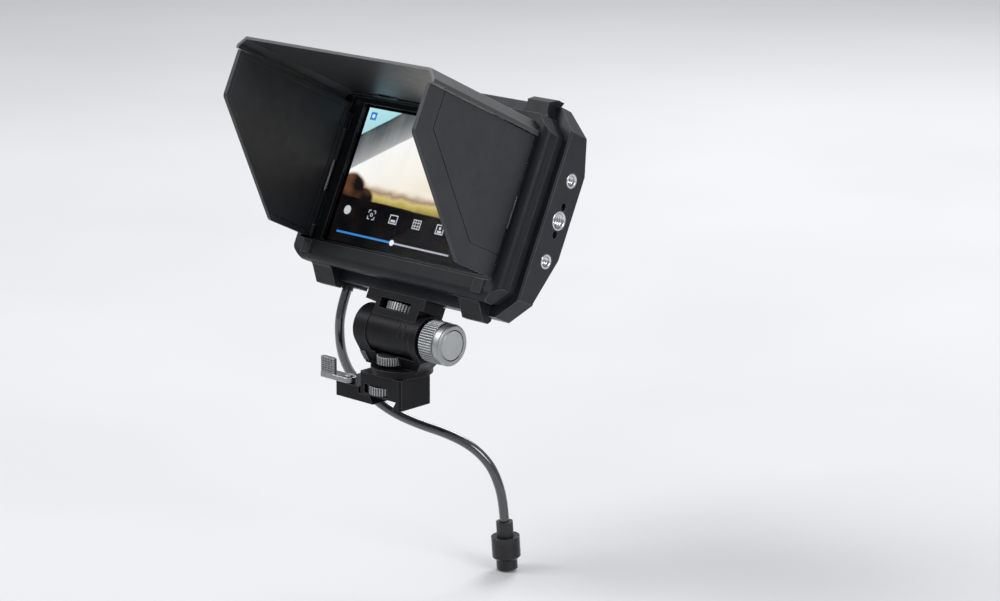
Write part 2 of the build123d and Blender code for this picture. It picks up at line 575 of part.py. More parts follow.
for name, side in (("left", -1), ("right", 1)):
    hinge_y = hinge_at[side]
    back = hinge_y - KNUCKLE_R - GAP
    inner_x, outer_x = side * (FLAP_X - FLAP_T), side * FLAP_X
    with BuildPart() as flap:
        with BuildSketch(side_plane(inner_x)) as blank:
            with BuildLine():
                Polyline(*flap_outline(0, back, FLAP_TOP), close=True)
            make_face()
            corners = blank.vertices().sort_by(Axis.Y)
            fillet(corners[:3], FLAP_CORNER_R)
        extrude(amount=side * FLAP_T)
        # The groove that sets off the border, on the outside.
        with BuildSketch(side_plane(outer_x)):
            with BuildLine():
                Polyline(*flap_outline(FLAP_BAND, back, FLAP_TOP), close=True)
            make_face()
            with BuildLine():
                Polyline(*flap_outline(FLAP_BAND + GROOVE_W, back, FLAP_TOP), close=True)
            make_face(mode=Mode.SUBTRACT)
        extrude(amount=-side * GROOVE_DEPTH, mode=Mode.SUBTRACT)
        # The shallow field inside the rim, on the screen's side.
        with BuildSketch(side_plane(inner_x)):
            with BuildLine():
                Polyline(*flap_outline(RIM_W, back - RIM_W, FLAP_TOP - RIM_W), close=True)
            make_face()
        extrude(amount=side * RIM_DEPTH, mode=Mode.SUBTRACT)
        for low, high in FLAP_KNUCKLES:
            with BuildSketch(Plane.XY.offset(low)):
                with Locations((side * hinge_x, hinge_y)):
                    Circle(KNUCKLE_R)
                with Locations((side * hinge_x, hinge_y - KNUCKLE_R)):
                    Rectangle(FLAP_T, 2 * KNUCKLE_R)
                with Locations((side * hinge_x, hinge_y)):
                    Circle(PIN_R + RUN, mode=Mode.SUBTRACT)
            extrude(amount=high - low)
    save(flap.part, f"{name}_flap", LEAN)

    with BuildPart() as hinge_pin:
        with BuildSketch(Plane.XY.offset(FLAP_KNUCKLES[1][0])):
            with Locations((side * hinge_x, hinge_y)):
                Circle(PIN_R)
        extrude(amount=FRAME_KNUCKLES[0][1] - FLAP_KNUCKLES[1][0])
    save(hinge_pin.part, f"{name}_hinge_pin", LEAN)

    with BuildPart() as hinge_spring:
        with BuildSketch(Plane.XY.offset(SPRING_LOW)):
            with Locations((side * hinge_x, hinge_y)):
                Circle(SPRING_R)
                Circle(PIN_R + RUN, mode=Mode.SUBTRACT)
        extrude(amount=SPRING_HIGH - SPRING_LOW)
    save(hinge_spring.part, f"{name}_hinge_spring", LEAN)

bevel = TOP_OUTER - TOP_EDGE
wall_turn = TOP_WALL * math.tan(math.radians(22.5))
half_outer = [(TOP_X, LIP_LOW), (TOP_X, TOP_EDGE), (TOP_X - bevel, TOP_OUTER)]
half_inner = [
    (TOP_X - TOP_WALL, LIP_LOW),
    (TOP_X - TOP_WALL, TOP_EDGE - wall_turn),
    (TOP_X - bevel - wall_turn, TOP_OUTER - TOP_WALL),
]
channel = half_outer + [(-x, z) for x, z in half_outer[::-1]]
channel += [(-x, z) for x, z in half_inner] + half_inner[::-1]
with BuildPart() as top_panel:
    with BuildSketch(upright_plane(-HOOD_DEPTH)):
        with BuildLine():
            Polyline(*channel, close=True)
        make_face()
    extrude(amount=HOOD_DEPTH + TOP_BACK_Y)
    # The lips are shallower ahead of a small step.
    with BuildSketch(Plane.XY.offset(LIP_LOW)):
        with Locations((0, (STEP_Y - HOOD_DEPTH) / 2)):
            Rectangle(2 * TOP_X, HOOD_DEPTH + STEP_Y)
    extrude(amount=STEP_Z - LIP_LOW, mode=Mode.SUBTRACT)
    knuckle_low = TOP_HINGE_Z - KNUCKLE_R - GAP
    for x in top_knuckle_x:
        with BuildSketch(Plane.XY.offset(knuckle_low)):
            with Locations((x, (TOP_HINGE_Y - KNUCKLE_R - GAP) / 2)):
                Rectangle(TOP_KNUCKLE_L + 2 * GAP, -TOP_HINGE_Y + KNUCKLE_R + GAP)
        extrude(amount=2 * (KNUCKLE_R + GAP), mode=Mode.SUBTRACT)
        for side in (-1, 1):
            start = x + side * (TOP_KNUCKLE_L / 2 + GAP)
            with BuildSketch(side_plane(start)):
                with Locations((TOP_HINGE_Y, TOP_HINGE_Z)):
                    Circle(KNUCKLE_R)
            extrude(amount=side * TOP_KNUCKLE_L / 2)
            with BuildSketch(side_plane(start)):
                with Locations((TOP_HINGE_Y, TOP_HINGE_Z)):
                    Circle(PIN_R + RUN)
            extrude(amount=side * TOP_KNUCKLE_L / 2, mode=Mode.SUBTRACT)
save(top_panel.part, "top_panel", LEAN)

with BuildPart() as top_hinge_pins:
    for x in top_knuckle_x:
        with BuildSketch(side_plane(x - TOP_KNUCKLE_L - GAP)):
            with Locations((TOP_HINGE_Y, TOP_HINGE_Z)):
                Circle(PIN_R)
        extrude(amount=2 * (TOP_KNUCKLE_L + GAP))
save(top_hinge_pins.part, "top_hinge_pins", LEAN)

# ================= The head that carries the monitor =================

# The head turns on the axle, so it is drawn with the upright monitor.
drum_l, drum_r = DRUM_LEFT + SEAT, DRUM_RIGHT - SEAT
with BuildPart() as head_block:
    with BuildSketch(side_plane(drum_l)):
        with Locations((AXLE_Y, AXLE_Z)):
            Circle(DRUM_R)
    extrude(amount=drum_r - drum_l)
    with BuildSketch(Plane((0, AXLE_Y, AXLE_Z), x_dir=(1, 0, 0), z_dir=(0, 0, 1))):
        with Locations(((drum_l + drum_r) / 2, 0)):
            Rectangle(drum_r - drum_l, HEAD_D)
    extrude(amount=HEAD_TOP - PLATE_T - AXLE_Z)
    with BuildSketch(Plane((0, AXLE_Y, HEAD_TOP), x_dir=(1, 0, 0), z_dir=(0, 0, 1))) as plate:
        with Locations(((PLATE_LEFT + PLATE_RIGHT) / 2, 0)):
            Rectangle(PLATE_RIGHT - PLATE_LEFT, HEAD_D)
        chamfer(plate.vertices().group_by(Axis.Y)[-1], length=PLATE_CHAMFER)
    extrude(amount=-PLATE_T)
    # The slot that the mounting wheel turns in, open in front, and its stud's hole.
    with BuildSketch(Plane((0, AXLE_Y, HEAD_WHEEL_Z - GAP), x_dir=(1, 0, 0), z_dir=(0, 0, 1))):
        Circle(WHEEL_R + 2 * GAP)
        with Locations(((HEAD_SLOT_LEFT + HEAD_SLOT_RIGHT) / 2, -WHEEL_R)):
            Rectangle(HEAD_SLOT_RIGHT - HEAD_SLOT_LEFT, 2 * WHEEL_R)
    extrude(amount=WHEEL_T + GAP + HEAD_SLOT_ROOM, mode=Mode.SUBTRACT)
    with BuildSketch(Plane((0, AXLE_Y, HEAD_WHEEL_Z), x_dir=(1, 0, 0), z_dir=(0, 0, 1))):
        Circle(STUD_R + RUN)
    extrude(amount=HEAD_TOP - HEAD_WHEEL_Z, mode=Mode.SUBTRACT)
    with BuildSketch(side_plane(drum_l)):
        with Locations((AXLE_Y, AXLE_Z)):
            Circle(AXLE_R + RUN)
    extrude(amount=drum_r - drum_l, mode=Mode.SUBTRACT)
    # The splits that let the drum clamp on the axle.
    for x in SPLIT_X:
        with BuildSketch(side_plane(x)):
            with Locations((AXLE_Y - DRUM_R, AXLE_Z)):
                Rectangle(DRUM_R, SPLIT_H)
        extrude(amount=SPLIT_W, mode=Mode.SUBTRACT)
save(head_block.part, "head_block", LEAN)

with BuildPart() as mounting_wheel:
    with BuildSketch(Plane((0, AXLE_Y, HEAD_WHEEL_Z), x_dir=(1, 0, 0), z_dir=(0, 0, 1))):
        add(fluted_disc(WHEEL_R, WHEEL_TEETH, WHEEL_GROOVE))
    extrude(amount=WHEEL_T)
    with BuildSketch(Plane((0, AXLE_Y, HEAD_WHEEL_Z), x_dir=(1, 0, 0), z_dir=(0, 0, 1))):
        Circle(STUD_R)
    extrude(amount=-CAGE_H / 2 + STUD_REACH - HEAD_WHEEL_Z)
save(mounting_wheel.part, "mounting_wheel", LEAN)

# ================= The yoke and the knob =================

lean = math.radians(SLANT)
tangent_y, tangent_z = CHEEK_R * math.cos(lean), AXLE_HEIGHT - CHEEK_R * math.sin(lean)
neck_z = TURNTABLE_Z + TURNTABLE_T / 2
neck_front = (tangent_z - neck_z) * math.tan(lean) - tangent_y
with BuildPart() as yoke:
    with BuildSketch(side_plane(CHEEK_LEFT)):
        with Locations((0, AXLE_HEIGHT)):
            Circle(CHEEK_R)
        with BuildLine():
            Polyline(
                (-tangent_y, tangent_z),
                (neck_front, neck_z),
                (NECK_BACK, neck_z),
                (tangent_y, tangent_z),
                (0, AXLE_HEIGHT),
                close=True,
            )
        make_face()
    extrude(amount=CHEEK_RIGHT - CHEEK_LEFT)
    # The right cheek is bevelled underneath.
    with BuildSketch(Plane.XZ.offset(-CHEEK_R)):
        with BuildLine():
            Polyline(
                (CHEEK_RIGHT, neck_z),
                (CHEEK_RIGHT, neck_z + CHEEK_CUT),
                (CHEEK_RIGHT - CHEEK_CUT, neck_z),
                close=True,
            )
        make_face()
    extrude(amount=2 * CHEEK_R, mode=Mode.SUBTRACT)
    with BuildSketch(Plane.XY.offset(TURNTABLE_Z)):
        with Locations((0, SWIVEL_Y)):
            Circle(TURNTABLE_R)
    extrude(amount=TURNTABLE_T)
    # The gap between the cheeks: a round floor for the drum, open above.
    with BuildSketch(side_plane(DRUM_LEFT)):
        with Locations((0, AXLE_HEIGHT)):
            Circle(DRUM_R + DRUM_ROOM)
        with Locations((0, AXLE_HEIGHT - HEAD_D / 2 - 2 * GAP)):
            Rectangle(3 * CHEEK_R, 3 * CHEEK_R, align=(Align.CENTER, Align.MIN))
    extrude(amount=DRUM_RIGHT - DRUM_LEFT, mode=Mode.SUBTRACT)
    with BuildSketch(side_plane(CHEEK_LEFT)):
        with Locations((0, AXLE_HEIGHT)):
            Circle(AXLE_R + TIGHT)
    extrude(amount=CHEEK_RIGHT - CHEEK_LEFT, mode=Mode.SUBTRACT)
    # The pocket for the swivel's lock wheel, open to the drum above, and its stud's hole.
    with BuildSketch(Plane.XY.offset(SWIVEL_WHEEL_Z - GAP)):
        with Locations((SWIVEL_WHEEL_X, SWIVEL_WHEEL_Y)):
            Circle(SWIVEL_WHEEL_R + 2 * GAP)
    extrude(amount=AXLE_HEIGHT - DRUM_R - SWIVEL_WHEEL_Z + 2 * GAP, mode=Mode.SUBTRACT)
    with BuildSketch(Plane.XY.offset(SWIVEL_WHEEL_Z + WHEEL_T / 2)):
        with Locations((SWIVEL_WHEEL_X, SWIVEL_WHEEL_Y - 2 * SWIVEL_WHEEL_R)):
            Rectangle(2 * (SWIVEL_WHEEL_R + 2 * GAP), 4 * SWIVEL_WHEEL_R)
    extrude(amount=WHEEL_T + 2 * GAP, mode=Mode.SUBTRACT)
    with BuildSketch(Plane.XY.offset(TURNTABLE_Z)):
        with Locations((SWIVEL_WHEEL_X, SWIVEL_WHEEL_Y)):
            Circle(SWIVEL_STUD_R + RUN)
    extrude(amount=SWIVEL_WHEEL_Z - TURNTABLE_Z, mode=Mode.SUBTRACT)
    with BuildSketch(Plane.XY.offset(TURNTABLE_Z)):
        with Locations((0, SWIVEL_Y)):
            Circle(POST_R)
    extrude(amount=POST_LOW - TURNTABLE_Z)
save(yoke.part, "yoke")

with BuildPart() as swivel_wheel:
    with BuildSketch(Plane.XY.offset(SWIVEL_WHEEL_Z)):
        with Locations((SWIVEL_WHEEL_X, SWIVEL_WHEEL_Y)):
            add(fluted_disc(SWIVEL_WHEEL_R, WHEEL_TEETH, WHEEL_GROOVE))
    extrude(amount=WHEEL_T)
    chamfer(swivel_wheel.edges().filter_by(GeomType.CIRCLE).group_by(Axis.Z)[-1], length=WHEEL_EDGE)
    with BuildSketch(Plane.XY.offset(SWIVEL_WHEEL_Z)):
        with Locations((SWIVEL_WHEEL_X, SWIVEL_WHEEL_Y)):
            Circle(SWIVEL_STUD_R)
    extrude(amount=TURNTABLE_Z + GAP - SWIVEL_WHEEL_Z)
save(swivel_wheel.part, "swivel_wheel")

slant_front = Plane(
    (0, (neck_front - tangent_y) / 2, (neck_z + tangent_z) / 2),
    x_dir=(1, 0, 0),
    z_dir=(0, -math.cos(lean), -math.sin(lean)),
)
with BuildPart() as index_plate:
    with BuildSketch(slant_front.offset(RUN)):
        with Locations((CHEEK_LEFT + GAP + INDEX_W / 2, -INDEX_DROP)):
            Rectangle(INDEX_W, INDEX_L)
    extrude(amount=INDEX_T)
save(index_plate.part, "index_plate")

with BuildPart() as tilt_axle:
    with BuildSketch(side_plane(CHEEK_LEFT - SEAT)):
        with Locations((0, AXLE_HEIGHT)):
            Circle(AXLE_R)
    extrude(amount=KNOB_START + KNOB_DEPTH - AXLE_SHORT - CHEEK_LEFT)
    with BuildSketch(side_plane(CHEEK_LEFT - SEAT)):
        with Locations((0, AXLE_HEIGHT)):
            Circle(AXLE_HEAD_R)
    extrude(amount=-AXLE_HEAD_T)
    chamfer(tilt_axle.edges().group_by(Axis.X)[0], length=AXLE_EDGE)
save(tilt_axle.part, "tilt_axle")

with BuildPart() as tilt_washers:
    for x in (DRUM_LEFT, drum_r):
        with BuildSketch(side_plane(x + TIGHT)):
            with Locations((0, AXLE_HEIGHT)):
                Circle(WASHER_R)
                Circle(AXLE_R + RUN, mode=Mode.SUBTRACT)
        extrude(amount=SEAT - 2 * TIGHT)
save(tilt_washers.part, "tilt_washers")

with BuildPart() as tilt_knob:
    with BuildSketch(side_plane(KNOB_START)):
        with Locations((0, AXLE_HEIGHT)):
            add(fluted_disc(KNOB_R, KNOB_TEETH, WHEEL_GROOVE))
    extrude(amount=KNURL_L)
    with BuildSketch(side_plane(KNOB_START + KNURL_L)):
        with Locations((0, AXLE_HEIGHT)):
            Circle(KNOB_R - KNOB_RELIEF)
    extrude(amount=KNOB_L - KNURL_L)
    fillet(tilt_knob.edges().filter_by(GeomType.CIRCLE).group_by(Axis.X)[-1], KNOB_R - KNOB_FACE_R)
    with BuildSketch(side_plane(KNOB_START + KNOB_L)):
        with Locations((0, AXLE_HEIGHT)):
            Circle(CAP_R + SEAT)
    extrude(amount=-CAP_DEPTH, mode=Mode.SUBTRACT)
    with BuildSketch(side_plane(KNOB_START)):
        with Locations((0, AXLE_HEIGHT)):
            Circle(AXLE_R + RUN)
    extrude(amount=KNOB_DEPTH, mode=Mode.SUBTRACT)
save(tilt_knob.part, "tilt_knob")

with BuildPart() as knob_cap:
    with BuildSketch(side_plane(KNOB_START + KNOB_L - CAP_DEPTH)):
        with Locations((0, AXLE_HEIGHT)):
            Circle(CAP_R)
    extrude(amount=CAP_DEPTH - CAP_SUNK)
    chamfer(knob_cap.edges().group_by(Axis.X)[-1], length=CAP_EDGE)
save(knob_cap.part, "knob_cap")

# ================= The rail clamp =================

rail_half, neck_half = RAIL_W / 2, RAIL_NECK / 2
with BuildPart() as clamp_base:
    with BuildSketch(Plane.XY):
        with Locations(((BASE_LEFT + BASE_RIGHT) / 2, 0)):
            Rectangle(BASE_RIGHT - BASE_LEFT, 2 * BASE_Y)
    extrude(amount=BASE_H)
    chamfer(clamp_base.edges().filter_by(Axis.Z), length=BASE_EDGE)
    # The rail's channel, open on the jaw's side and undercut on the other.
    with BuildSketch(Plane((0, -BASE_Y, 0), x_dir=(1, 0, 0), z_dir=(0, -1, 0))):
        with BuildLine():
            Polyline(
                (BASE_LEFT, 0),
                (neck_half, 0),
                (rail_half, RAIL_DEPTH),
                (BASE_LEFT, RAIL_DEPTH),
                close=True,
            )
        make_face()
    extrude(amount=-2 * BASE_Y, mode=Mode.SUBTRACT)
    with BuildSketch(Plane.XY.offset(BASE_WHEEL_Z - GAP)):
        with Locations((BASE_WHEEL_X, BASE_WHEEL_Y)):
            Circle(BASE_WHEEL_R + 2 * GAP)
        with Locations((BASE_WHEEL_X, BASE_WHEEL_Y - BASE_WHEEL_R)):
            Rectangle(2 * BASE_WHEEL_R, BASE_WHEEL_R)
    extrude(amount=WHEEL_T + 2 * GAP, mode=Mode.SUBTRACT)
    with BuildSketch(Plane.XY.offset(BASE_WHEEL_Z)):
        with Locations((BASE_WHEEL_X, BASE_WHEEL_Y)):
            Circle(SWIVEL_STUD_R + RUN)
    extrude(amount=WHEEL_T + BASE_STUD_L + GAP, mode=Mode.SUBTRACT)
    with BuildSketch(Plane.XY.offset(BASE_H)):
        with Locations((0, SWIVEL_Y)):
            Circle(POST_R + RUN)
    extrude(amount=POST_LOW - GAP - BASE_H, mode=Mode.SUBTRACT)
    with BuildSketch(side_plane(BASE_LEFT)):
        with Locations(*[(y, JAW_ROD_Z) for y in JAW_ROD_Y]):
            Circle(JAW_ROD_R + RUN)
    extrude(amount=JAW_ROD_L, mode=Mode.SUBTRACT)
save(clamp_base.part, "clamp_base")

with BuildPart() as swivel_washer:
    with BuildSketch(Plane.XY.offset(BASE_H + SWIVEL_WASHER_PLAY)):
        with Locations((0, SWIVEL_Y)):
            Circle(SWIVEL_WASHER_R)
            Circle(POST_R + RUN, mode=Mode.SUBTRACT)
    extrude(amount=TURNTABLE_Z - BASE_H - 2 * SWIVEL_WASHER_PLAY)
save(swivel_washer.part, "swivel_washer")

with BuildPart() as base_wheel:
    with BuildSketch(Plane.XY.offset(BASE_WHEEL_Z)):
        with Locations((BASE_WHEEL_X, BASE_WHEEL_Y)):
            add(fluted_disc(BASE_WHEEL_R, WHEEL_TEETH, WHEEL_GROOVE))
    extrude(amount=WHEEL_T)
    with BuildSketch(Plane.XY.offset(BASE_WHEEL_Z)):
        with Locations((BASE_WHEEL_X, BASE_WHEEL_Y)):
            Circle(SWIVEL_STUD_R)
    extrude(amount=WHEEL_T + BASE_STUD_L)
save(base_wheel.part, "base_wheel")

jaw_right = BASE_LEFT - GAP
with BuildPart() as moving_jaw:
    with BuildSketch(Plane.XY):
        with Locations(((JAW_LEFT + jaw_right) / 2, 0)):
            Rectangle(jaw_right - JAW_LEFT, 2 * BASE_Y)
    extrude(amount=JAW_H)
    chamfer(moving_jaw.edges().filter_by(Axis.Z).group_by(Axis.X)[0], length=BASE_EDGE)
    with BuildSketch(Plane((0, -BASE_Y, 0), x_dir=(1, 0, 0), z_dir=(0, -1, 0))):
        with BuildLine():
            Polyline(
                (jaw_right - LIP_ROOT, 0),
                (-neck_half, 0),
                (-rail_half, RAIL_DEPTH - GAP),
                (jaw_right - LIP_ROOT, RAIL_DEPTH - GAP),
                close=True,
            )
        make_face()
    extrude(amount=-2 * BASE_Y)
    with BuildSketch(Plane.XY):
        with Locations((LEVER_PIVOT_X, LEVER_Y)):
            Circle(LEVER_PIN_R + TIGHT)
    extrude(amount=JAW_H, mode=Mode.SUBTRACT)
save(moving_jaw.part, "moving_jaw")

with BuildPart() as jaw_rods:
    with BuildSketch(side_plane(jaw_right)):
        with Locations(*[(y, JAW_ROD_Z) for y in JAW_ROD_Y]):
            Circle(JAW_ROD_R)
    extrude(amount=JAW_ROD_L - JAW_ROD_SHORT)
save(jaw_rods.part, "jaw_rods")

lever_z = JAW_H + GAP
pad_left = LEVER_PIVOT_X - LEVER_REACH
with BuildPart() as clamp_lever:
    with BuildSketch(Plane.XY.offset(lever_z)):
        with Locations((LEVER_PIVOT_X, LEVER_Y)):
            Circle(LEVER_W / 2)
        with Locations(((LEVER_PIVOT_X + pad_left) / 2, LEVER_Y)):
            Rectangle(LEVER_REACH, LEVER_W)
    extrude(amount=LEVER_T)
    with BuildSketch(Plane.XY.offset(lever_z)):
        with Locations((pad_left + LEVER_PAD_L / 2, LEVER_Y - LEVER_W / 2 + LEVER_PAD_T / 2)):
            RectangleRounded(LEVER_PAD_L, LEVER_PAD_T, LEVER_PAD_ROUND)
    extrude(amount=LEVER_PAD_H)
    with BuildSketch(Plane.XY.offset(lever_z)):
        with Locations((LEVER_PIVOT_X, LEVER_Y)):
            Circle(LEVER_PIN_R + RUN)
    extrude(amount=LEVER_T, mode=Mode.SUBTRACT)
save(clamp_lever.part, "clamp_lever")

with BuildPart() as lever_pin:
    with BuildSketch(Plane.XY.offset(LEVER_PIN_LOW)):
        with Locations((LEVER_PIVOT_X, LEVER_Y)):
            Circle(LEVER_PIN_R)
    extrude(amount=lever_z + LEVER_T + GAP - LEVER_PIN_LOW)
    with BuildSketch(Plane.XY.offset(lever_z + LEVER_T + GAP)):
        with Locations((LEVER_PIVOT_X, LEVER_Y)):
            Circle(LEVER_HEAD_R)
    extrude(amount=LEVER_HEAD_T)
save(lever_pin.part, "lever_pin")

# ================= The video cable =================

plug_top, plug_foot = -CAGE_H / 2 + PLUG_DEPTH, -CAGE_H / 2 - PLUG_T
with BuildPart() as cable_plug:
    with BuildSketch(Plane((socket_x, CORD_EXIT_Y, plug_top), x_dir=(1, 0, 0), z_dir=(0, 0, 1))):
        Rectangle(PLUG_W, PLUG_D)
    extrude(amount=plug_foot - plug_top)
    with BuildSketch(Plane((CORD_EXIT_X, CORD_EXIT_Y, plug_foot), x_dir=(1, 0, 0), z_dir=(0, 0, 1))):
        Circle(CORD_R + BOOT_WALL)
    extrude(amount=-BOOT_L)
save(cable_plug.part, "cable_plug", LEAN)

boot_end = plug_foot - BOOT_L
cord_start = (LEAN * Location((CORD_EXIT_X, CORD_EXIT_Y, boot_end))).position
cord_lead = (LEAN * Location((CORD_EXIT_X, CORD_EXIT_Y, boot_end - CORD_LEAD))).position
cord_points = [
    tuple(cord_start),
    tuple(cord_lead),
    (-53.5, 5.4, 26.5),
    (-57.2, 12.0, 12.5),
    (-58.5, 21.0, -1.0),
    (-52.0, 29.5, -13.0),
    (-40.0, 36.0, -22.0),
    (-24.0, 41.5, -27.0),
    (-8.0, 49.0, -31.0),
    (4.5, 57.0, -38.0),
    (12.5, 63.5, -48.5),
    (16.5, 67.0, -60.5),
    (18.5, 69.0, -73.0),
    (19.0, 69.5, -84.0),
]
vectors = [Vector(*p) for p in cord_points]
radii = []
for before, corner, after in zip(vectors, vectors[1:], vectors[2:]):
    turn = math.radians((corner - before).get_angle(after - corner))
    shorter = min((corner - before).length, (after - corner).length)
    radii.append(0.45 * shorter / math.tan(turn / 2))
print("cable bend radii", [round(r, 1) for r in radii])

with BuildLine() as cord_path:
    FilletPolyline(*cord_points, radius=radii)
route = cord_path.wire()
with BuildPart() as video_cable:
    with BuildSketch(Plane(route @ 0, z_dir=route % 0)):
        Circle(CORD_R)
    sweep(path=route)
swept = video_cable.part.volume / (math.pi * CORD_R**2 * route.length)
print("cable length", round(route.length, 1), "volume over section times length", round(swept, 5))
save(video_cable.part, "video_cable")

end_plane = Plane(route @ 1, z_dir=route % 1)
with BuildPart() as far_collar:
    with BuildSketch(end_plane):
        Circle(COLLAR_R)
    extrude(amount=COLLAR_L)
save(far_collar.part, "far_collar")

with BuildPart() as far_connector:
    with BuildSketch(end_plane.offset(COLLAR_L + TIGHT)):
        Circle(CONNECTOR_R)
    extrude(amount=CONNECTOR_L)
    chamfer(far_connector.edges().group_by(Axis.Z)[0], length=CONNECTOR_EDGE)
    with BuildSketch(end_plane.offset(COLLAR_L + CONNECTOR_L)):
        Circle(TONGUE_R)
        Circle(TONGUE_BORE_R, mode=Mode.SUBTRACT)
    extrude(amount=TONGUE_L)
save(far_connector.part, "far_connector")
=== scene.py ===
"""Looks of the camera field monitor with its sun hood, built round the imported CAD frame.

The CAD nodes keep their shapes and get procedural materials. The video cord, the screen's
picture, the knurled tilt knob, the coiled hinge springs and the cut threads are made here as
surfaces computed with numpy. Lengths are metres in the row frame, unless a name ends in _mm.
"""

import logging
import math
from dataclasses import dataclass, field
from enum import Enum
from typing import Optional, Sequence

import bpy
import numpy as np
from mathutils import Matrix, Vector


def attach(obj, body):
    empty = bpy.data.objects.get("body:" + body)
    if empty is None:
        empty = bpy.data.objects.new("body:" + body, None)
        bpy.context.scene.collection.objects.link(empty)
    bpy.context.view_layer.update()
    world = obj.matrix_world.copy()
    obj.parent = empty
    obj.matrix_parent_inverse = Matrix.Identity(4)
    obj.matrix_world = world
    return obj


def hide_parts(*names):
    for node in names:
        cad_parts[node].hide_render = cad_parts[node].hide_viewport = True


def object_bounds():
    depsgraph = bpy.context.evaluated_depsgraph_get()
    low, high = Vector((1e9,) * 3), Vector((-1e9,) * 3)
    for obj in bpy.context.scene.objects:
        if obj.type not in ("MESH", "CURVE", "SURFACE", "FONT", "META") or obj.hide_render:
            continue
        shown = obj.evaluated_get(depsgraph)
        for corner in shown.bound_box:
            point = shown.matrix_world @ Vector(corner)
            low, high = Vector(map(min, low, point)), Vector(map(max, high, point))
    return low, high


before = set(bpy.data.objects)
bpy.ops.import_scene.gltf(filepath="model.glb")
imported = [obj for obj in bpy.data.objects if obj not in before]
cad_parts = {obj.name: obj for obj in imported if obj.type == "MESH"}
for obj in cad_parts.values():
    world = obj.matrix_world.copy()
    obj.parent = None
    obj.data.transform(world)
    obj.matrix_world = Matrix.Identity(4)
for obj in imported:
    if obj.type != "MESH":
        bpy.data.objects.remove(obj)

CAD_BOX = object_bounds()
MM = 0.001
LOG = logging.getLogger("field_monitor")

Colour = tuple[float, float, float]
Lattice = np.ndarray  # rows x columns x 3 points
Socket = bpy.types.NodeSocket

AXLE_HEIGHT_MM = 42.0
TILT_BACK_DEG = 26.0
AXLE_UPRIGHT_MM = (23.0, -82.0)  # the tilt axle's Y and Z as the upright monitor sees it

# Sizes that every rigid finish shares, in millimetres.
DRIFT_MM = 17.0
GLOSS_PATCH_MM = 6.0
BRUSH_LINE_MM = 0.5
BRUSH_DEPTH_MM = 0.02
KNURL_PITCH_MM = 2.6
KNURL_DEPTH_MM = 0.3
KNURL_LOW_MM = 12.4  # height above which the lever's flat faces are knurled

# Cosines between the true normal and the rounded one, on a face and on a full edge.
FACE_COSINE = 0.995
EDGE_COSINE = 0.86
# Share of open sky at which a groove counts as closed.
CLOSED_SKY = 0.72
BEVEL_SAMPLES = 4
AIR_SAMPLES = 6

SENSOR_MM = 36.0

# Marks on the screen: how far they stand before the picture, a disc's hole, and what they glow in.
MARK_GAP_MM = 0.03
KNOB_GAP_MM = 0.05
PIN_HOLE_MM = 0.01
ICON_WHITE: Colour = (0.62, 0.64, 0.66)
SLIDER_GREY: Colour = (0.5, 0.51, 0.56)
SLIDER_BLUE: Colour = (0.035, 0.26, 0.68)
SLIDER_KNOB: Colour = (0.93, 0.94, 0.95)

# Colours of the picture, from the cloud bank's line upwards and from the ground upwards.
SKY_STOPS: Sequence[tuple[float, Colour]] = (
    (0.0, (0.95, 0.87, 0.70)),
    (0.3, (0.99, 0.95, 0.86)),
    (0.535, (1.0, 0.99, 0.95)),
    (0.55, (0.42, 0.42, 0.41)),
    (0.62, (0.26, 0.275, 0.28)),
    (0.70, (0.13, 0.145, 0.15)),
    (0.78, (0.075, 0.088, 0.094)),
    (0.80, (0.02, 0.022, 0.026)),
    (0.812, (0.40, 0.74, 0.79)),
    (1.0, (0.52, 0.84, 0.88)),
)
MEADOW_STOPS: Sequence[tuple[float, Colour]] = (
    (0.0, (0.24, 0.17, 0.06)),
    (0.25, (0.47, 0.37, 0.09)),
    (0.45, (0.66, 0.55, 0.20)),
    (0.62, (0.40, 0.27, 0.19)),
    (0.82, (0.78, 0.68, 0.52)),
    (1.0, (0.97, 0.92, 0.80)),
)
CLOUD_STREAK: Colour = (0.62, 0.6, 0.56)


class Body(Enum):
    """CAD bodies that the new pieces ride on."""

    MONITOR = "monitor"
    KNOB = "knob"


class Slot(Enum):
    """Material slots of the record, passed along with each new piece."""

    CABLE = "cable"
    PANEL = "panel"
    BRIGHT_METAL = "bright_metal"
    STEEL = "steel"


class Streak(Enum):
    """Direction in which a brushed finish was worked, as a stretch of the noise along each axis."""

    ALONG_X = (0.06, 1.0, 1.0)
    ALONG_Z = (1.0, 1.0, 0.06)


def lean(points_mm: np.ndarray) -> np.ndarray:
    """Carries points of the upright monitor into the row frame.

    The monitor turns back about the tilt axle: with (dy, dz) measured from the axle, the row's
    Y = dy cos a + dz sin a and Z = height - dy sin a + dz cos a.

    Args:
        points_mm: Points whose last axis is x, y, z in the upright monitor's frame, in millimetres.

    Returns:
        The same points in the row frame, in metres.
    """
    angle = math.radians(TILT_BACK_DEG)
    dy = points_mm[..., 1] - AXLE_UPRIGHT_MM[0]
    dz = points_mm[..., 2] - AXLE_UPRIGHT_MM[1]
    y = dy * math.cos(angle) + dz * math.sin(angle)
    z = AXLE_HEIGHT_MM - dy * math.sin(angle) + dz * math.cos(angle)
    return np.stack([points_mm[..., 0], y, z], axis=-1) * MM


def full_turn(corners: int) -> np.ndarray:
    """Even angles round a full turn, without the last, which is the first again."""
    return np.linspace(0.0, 2.0 * math.pi, corners, endpoint=False)


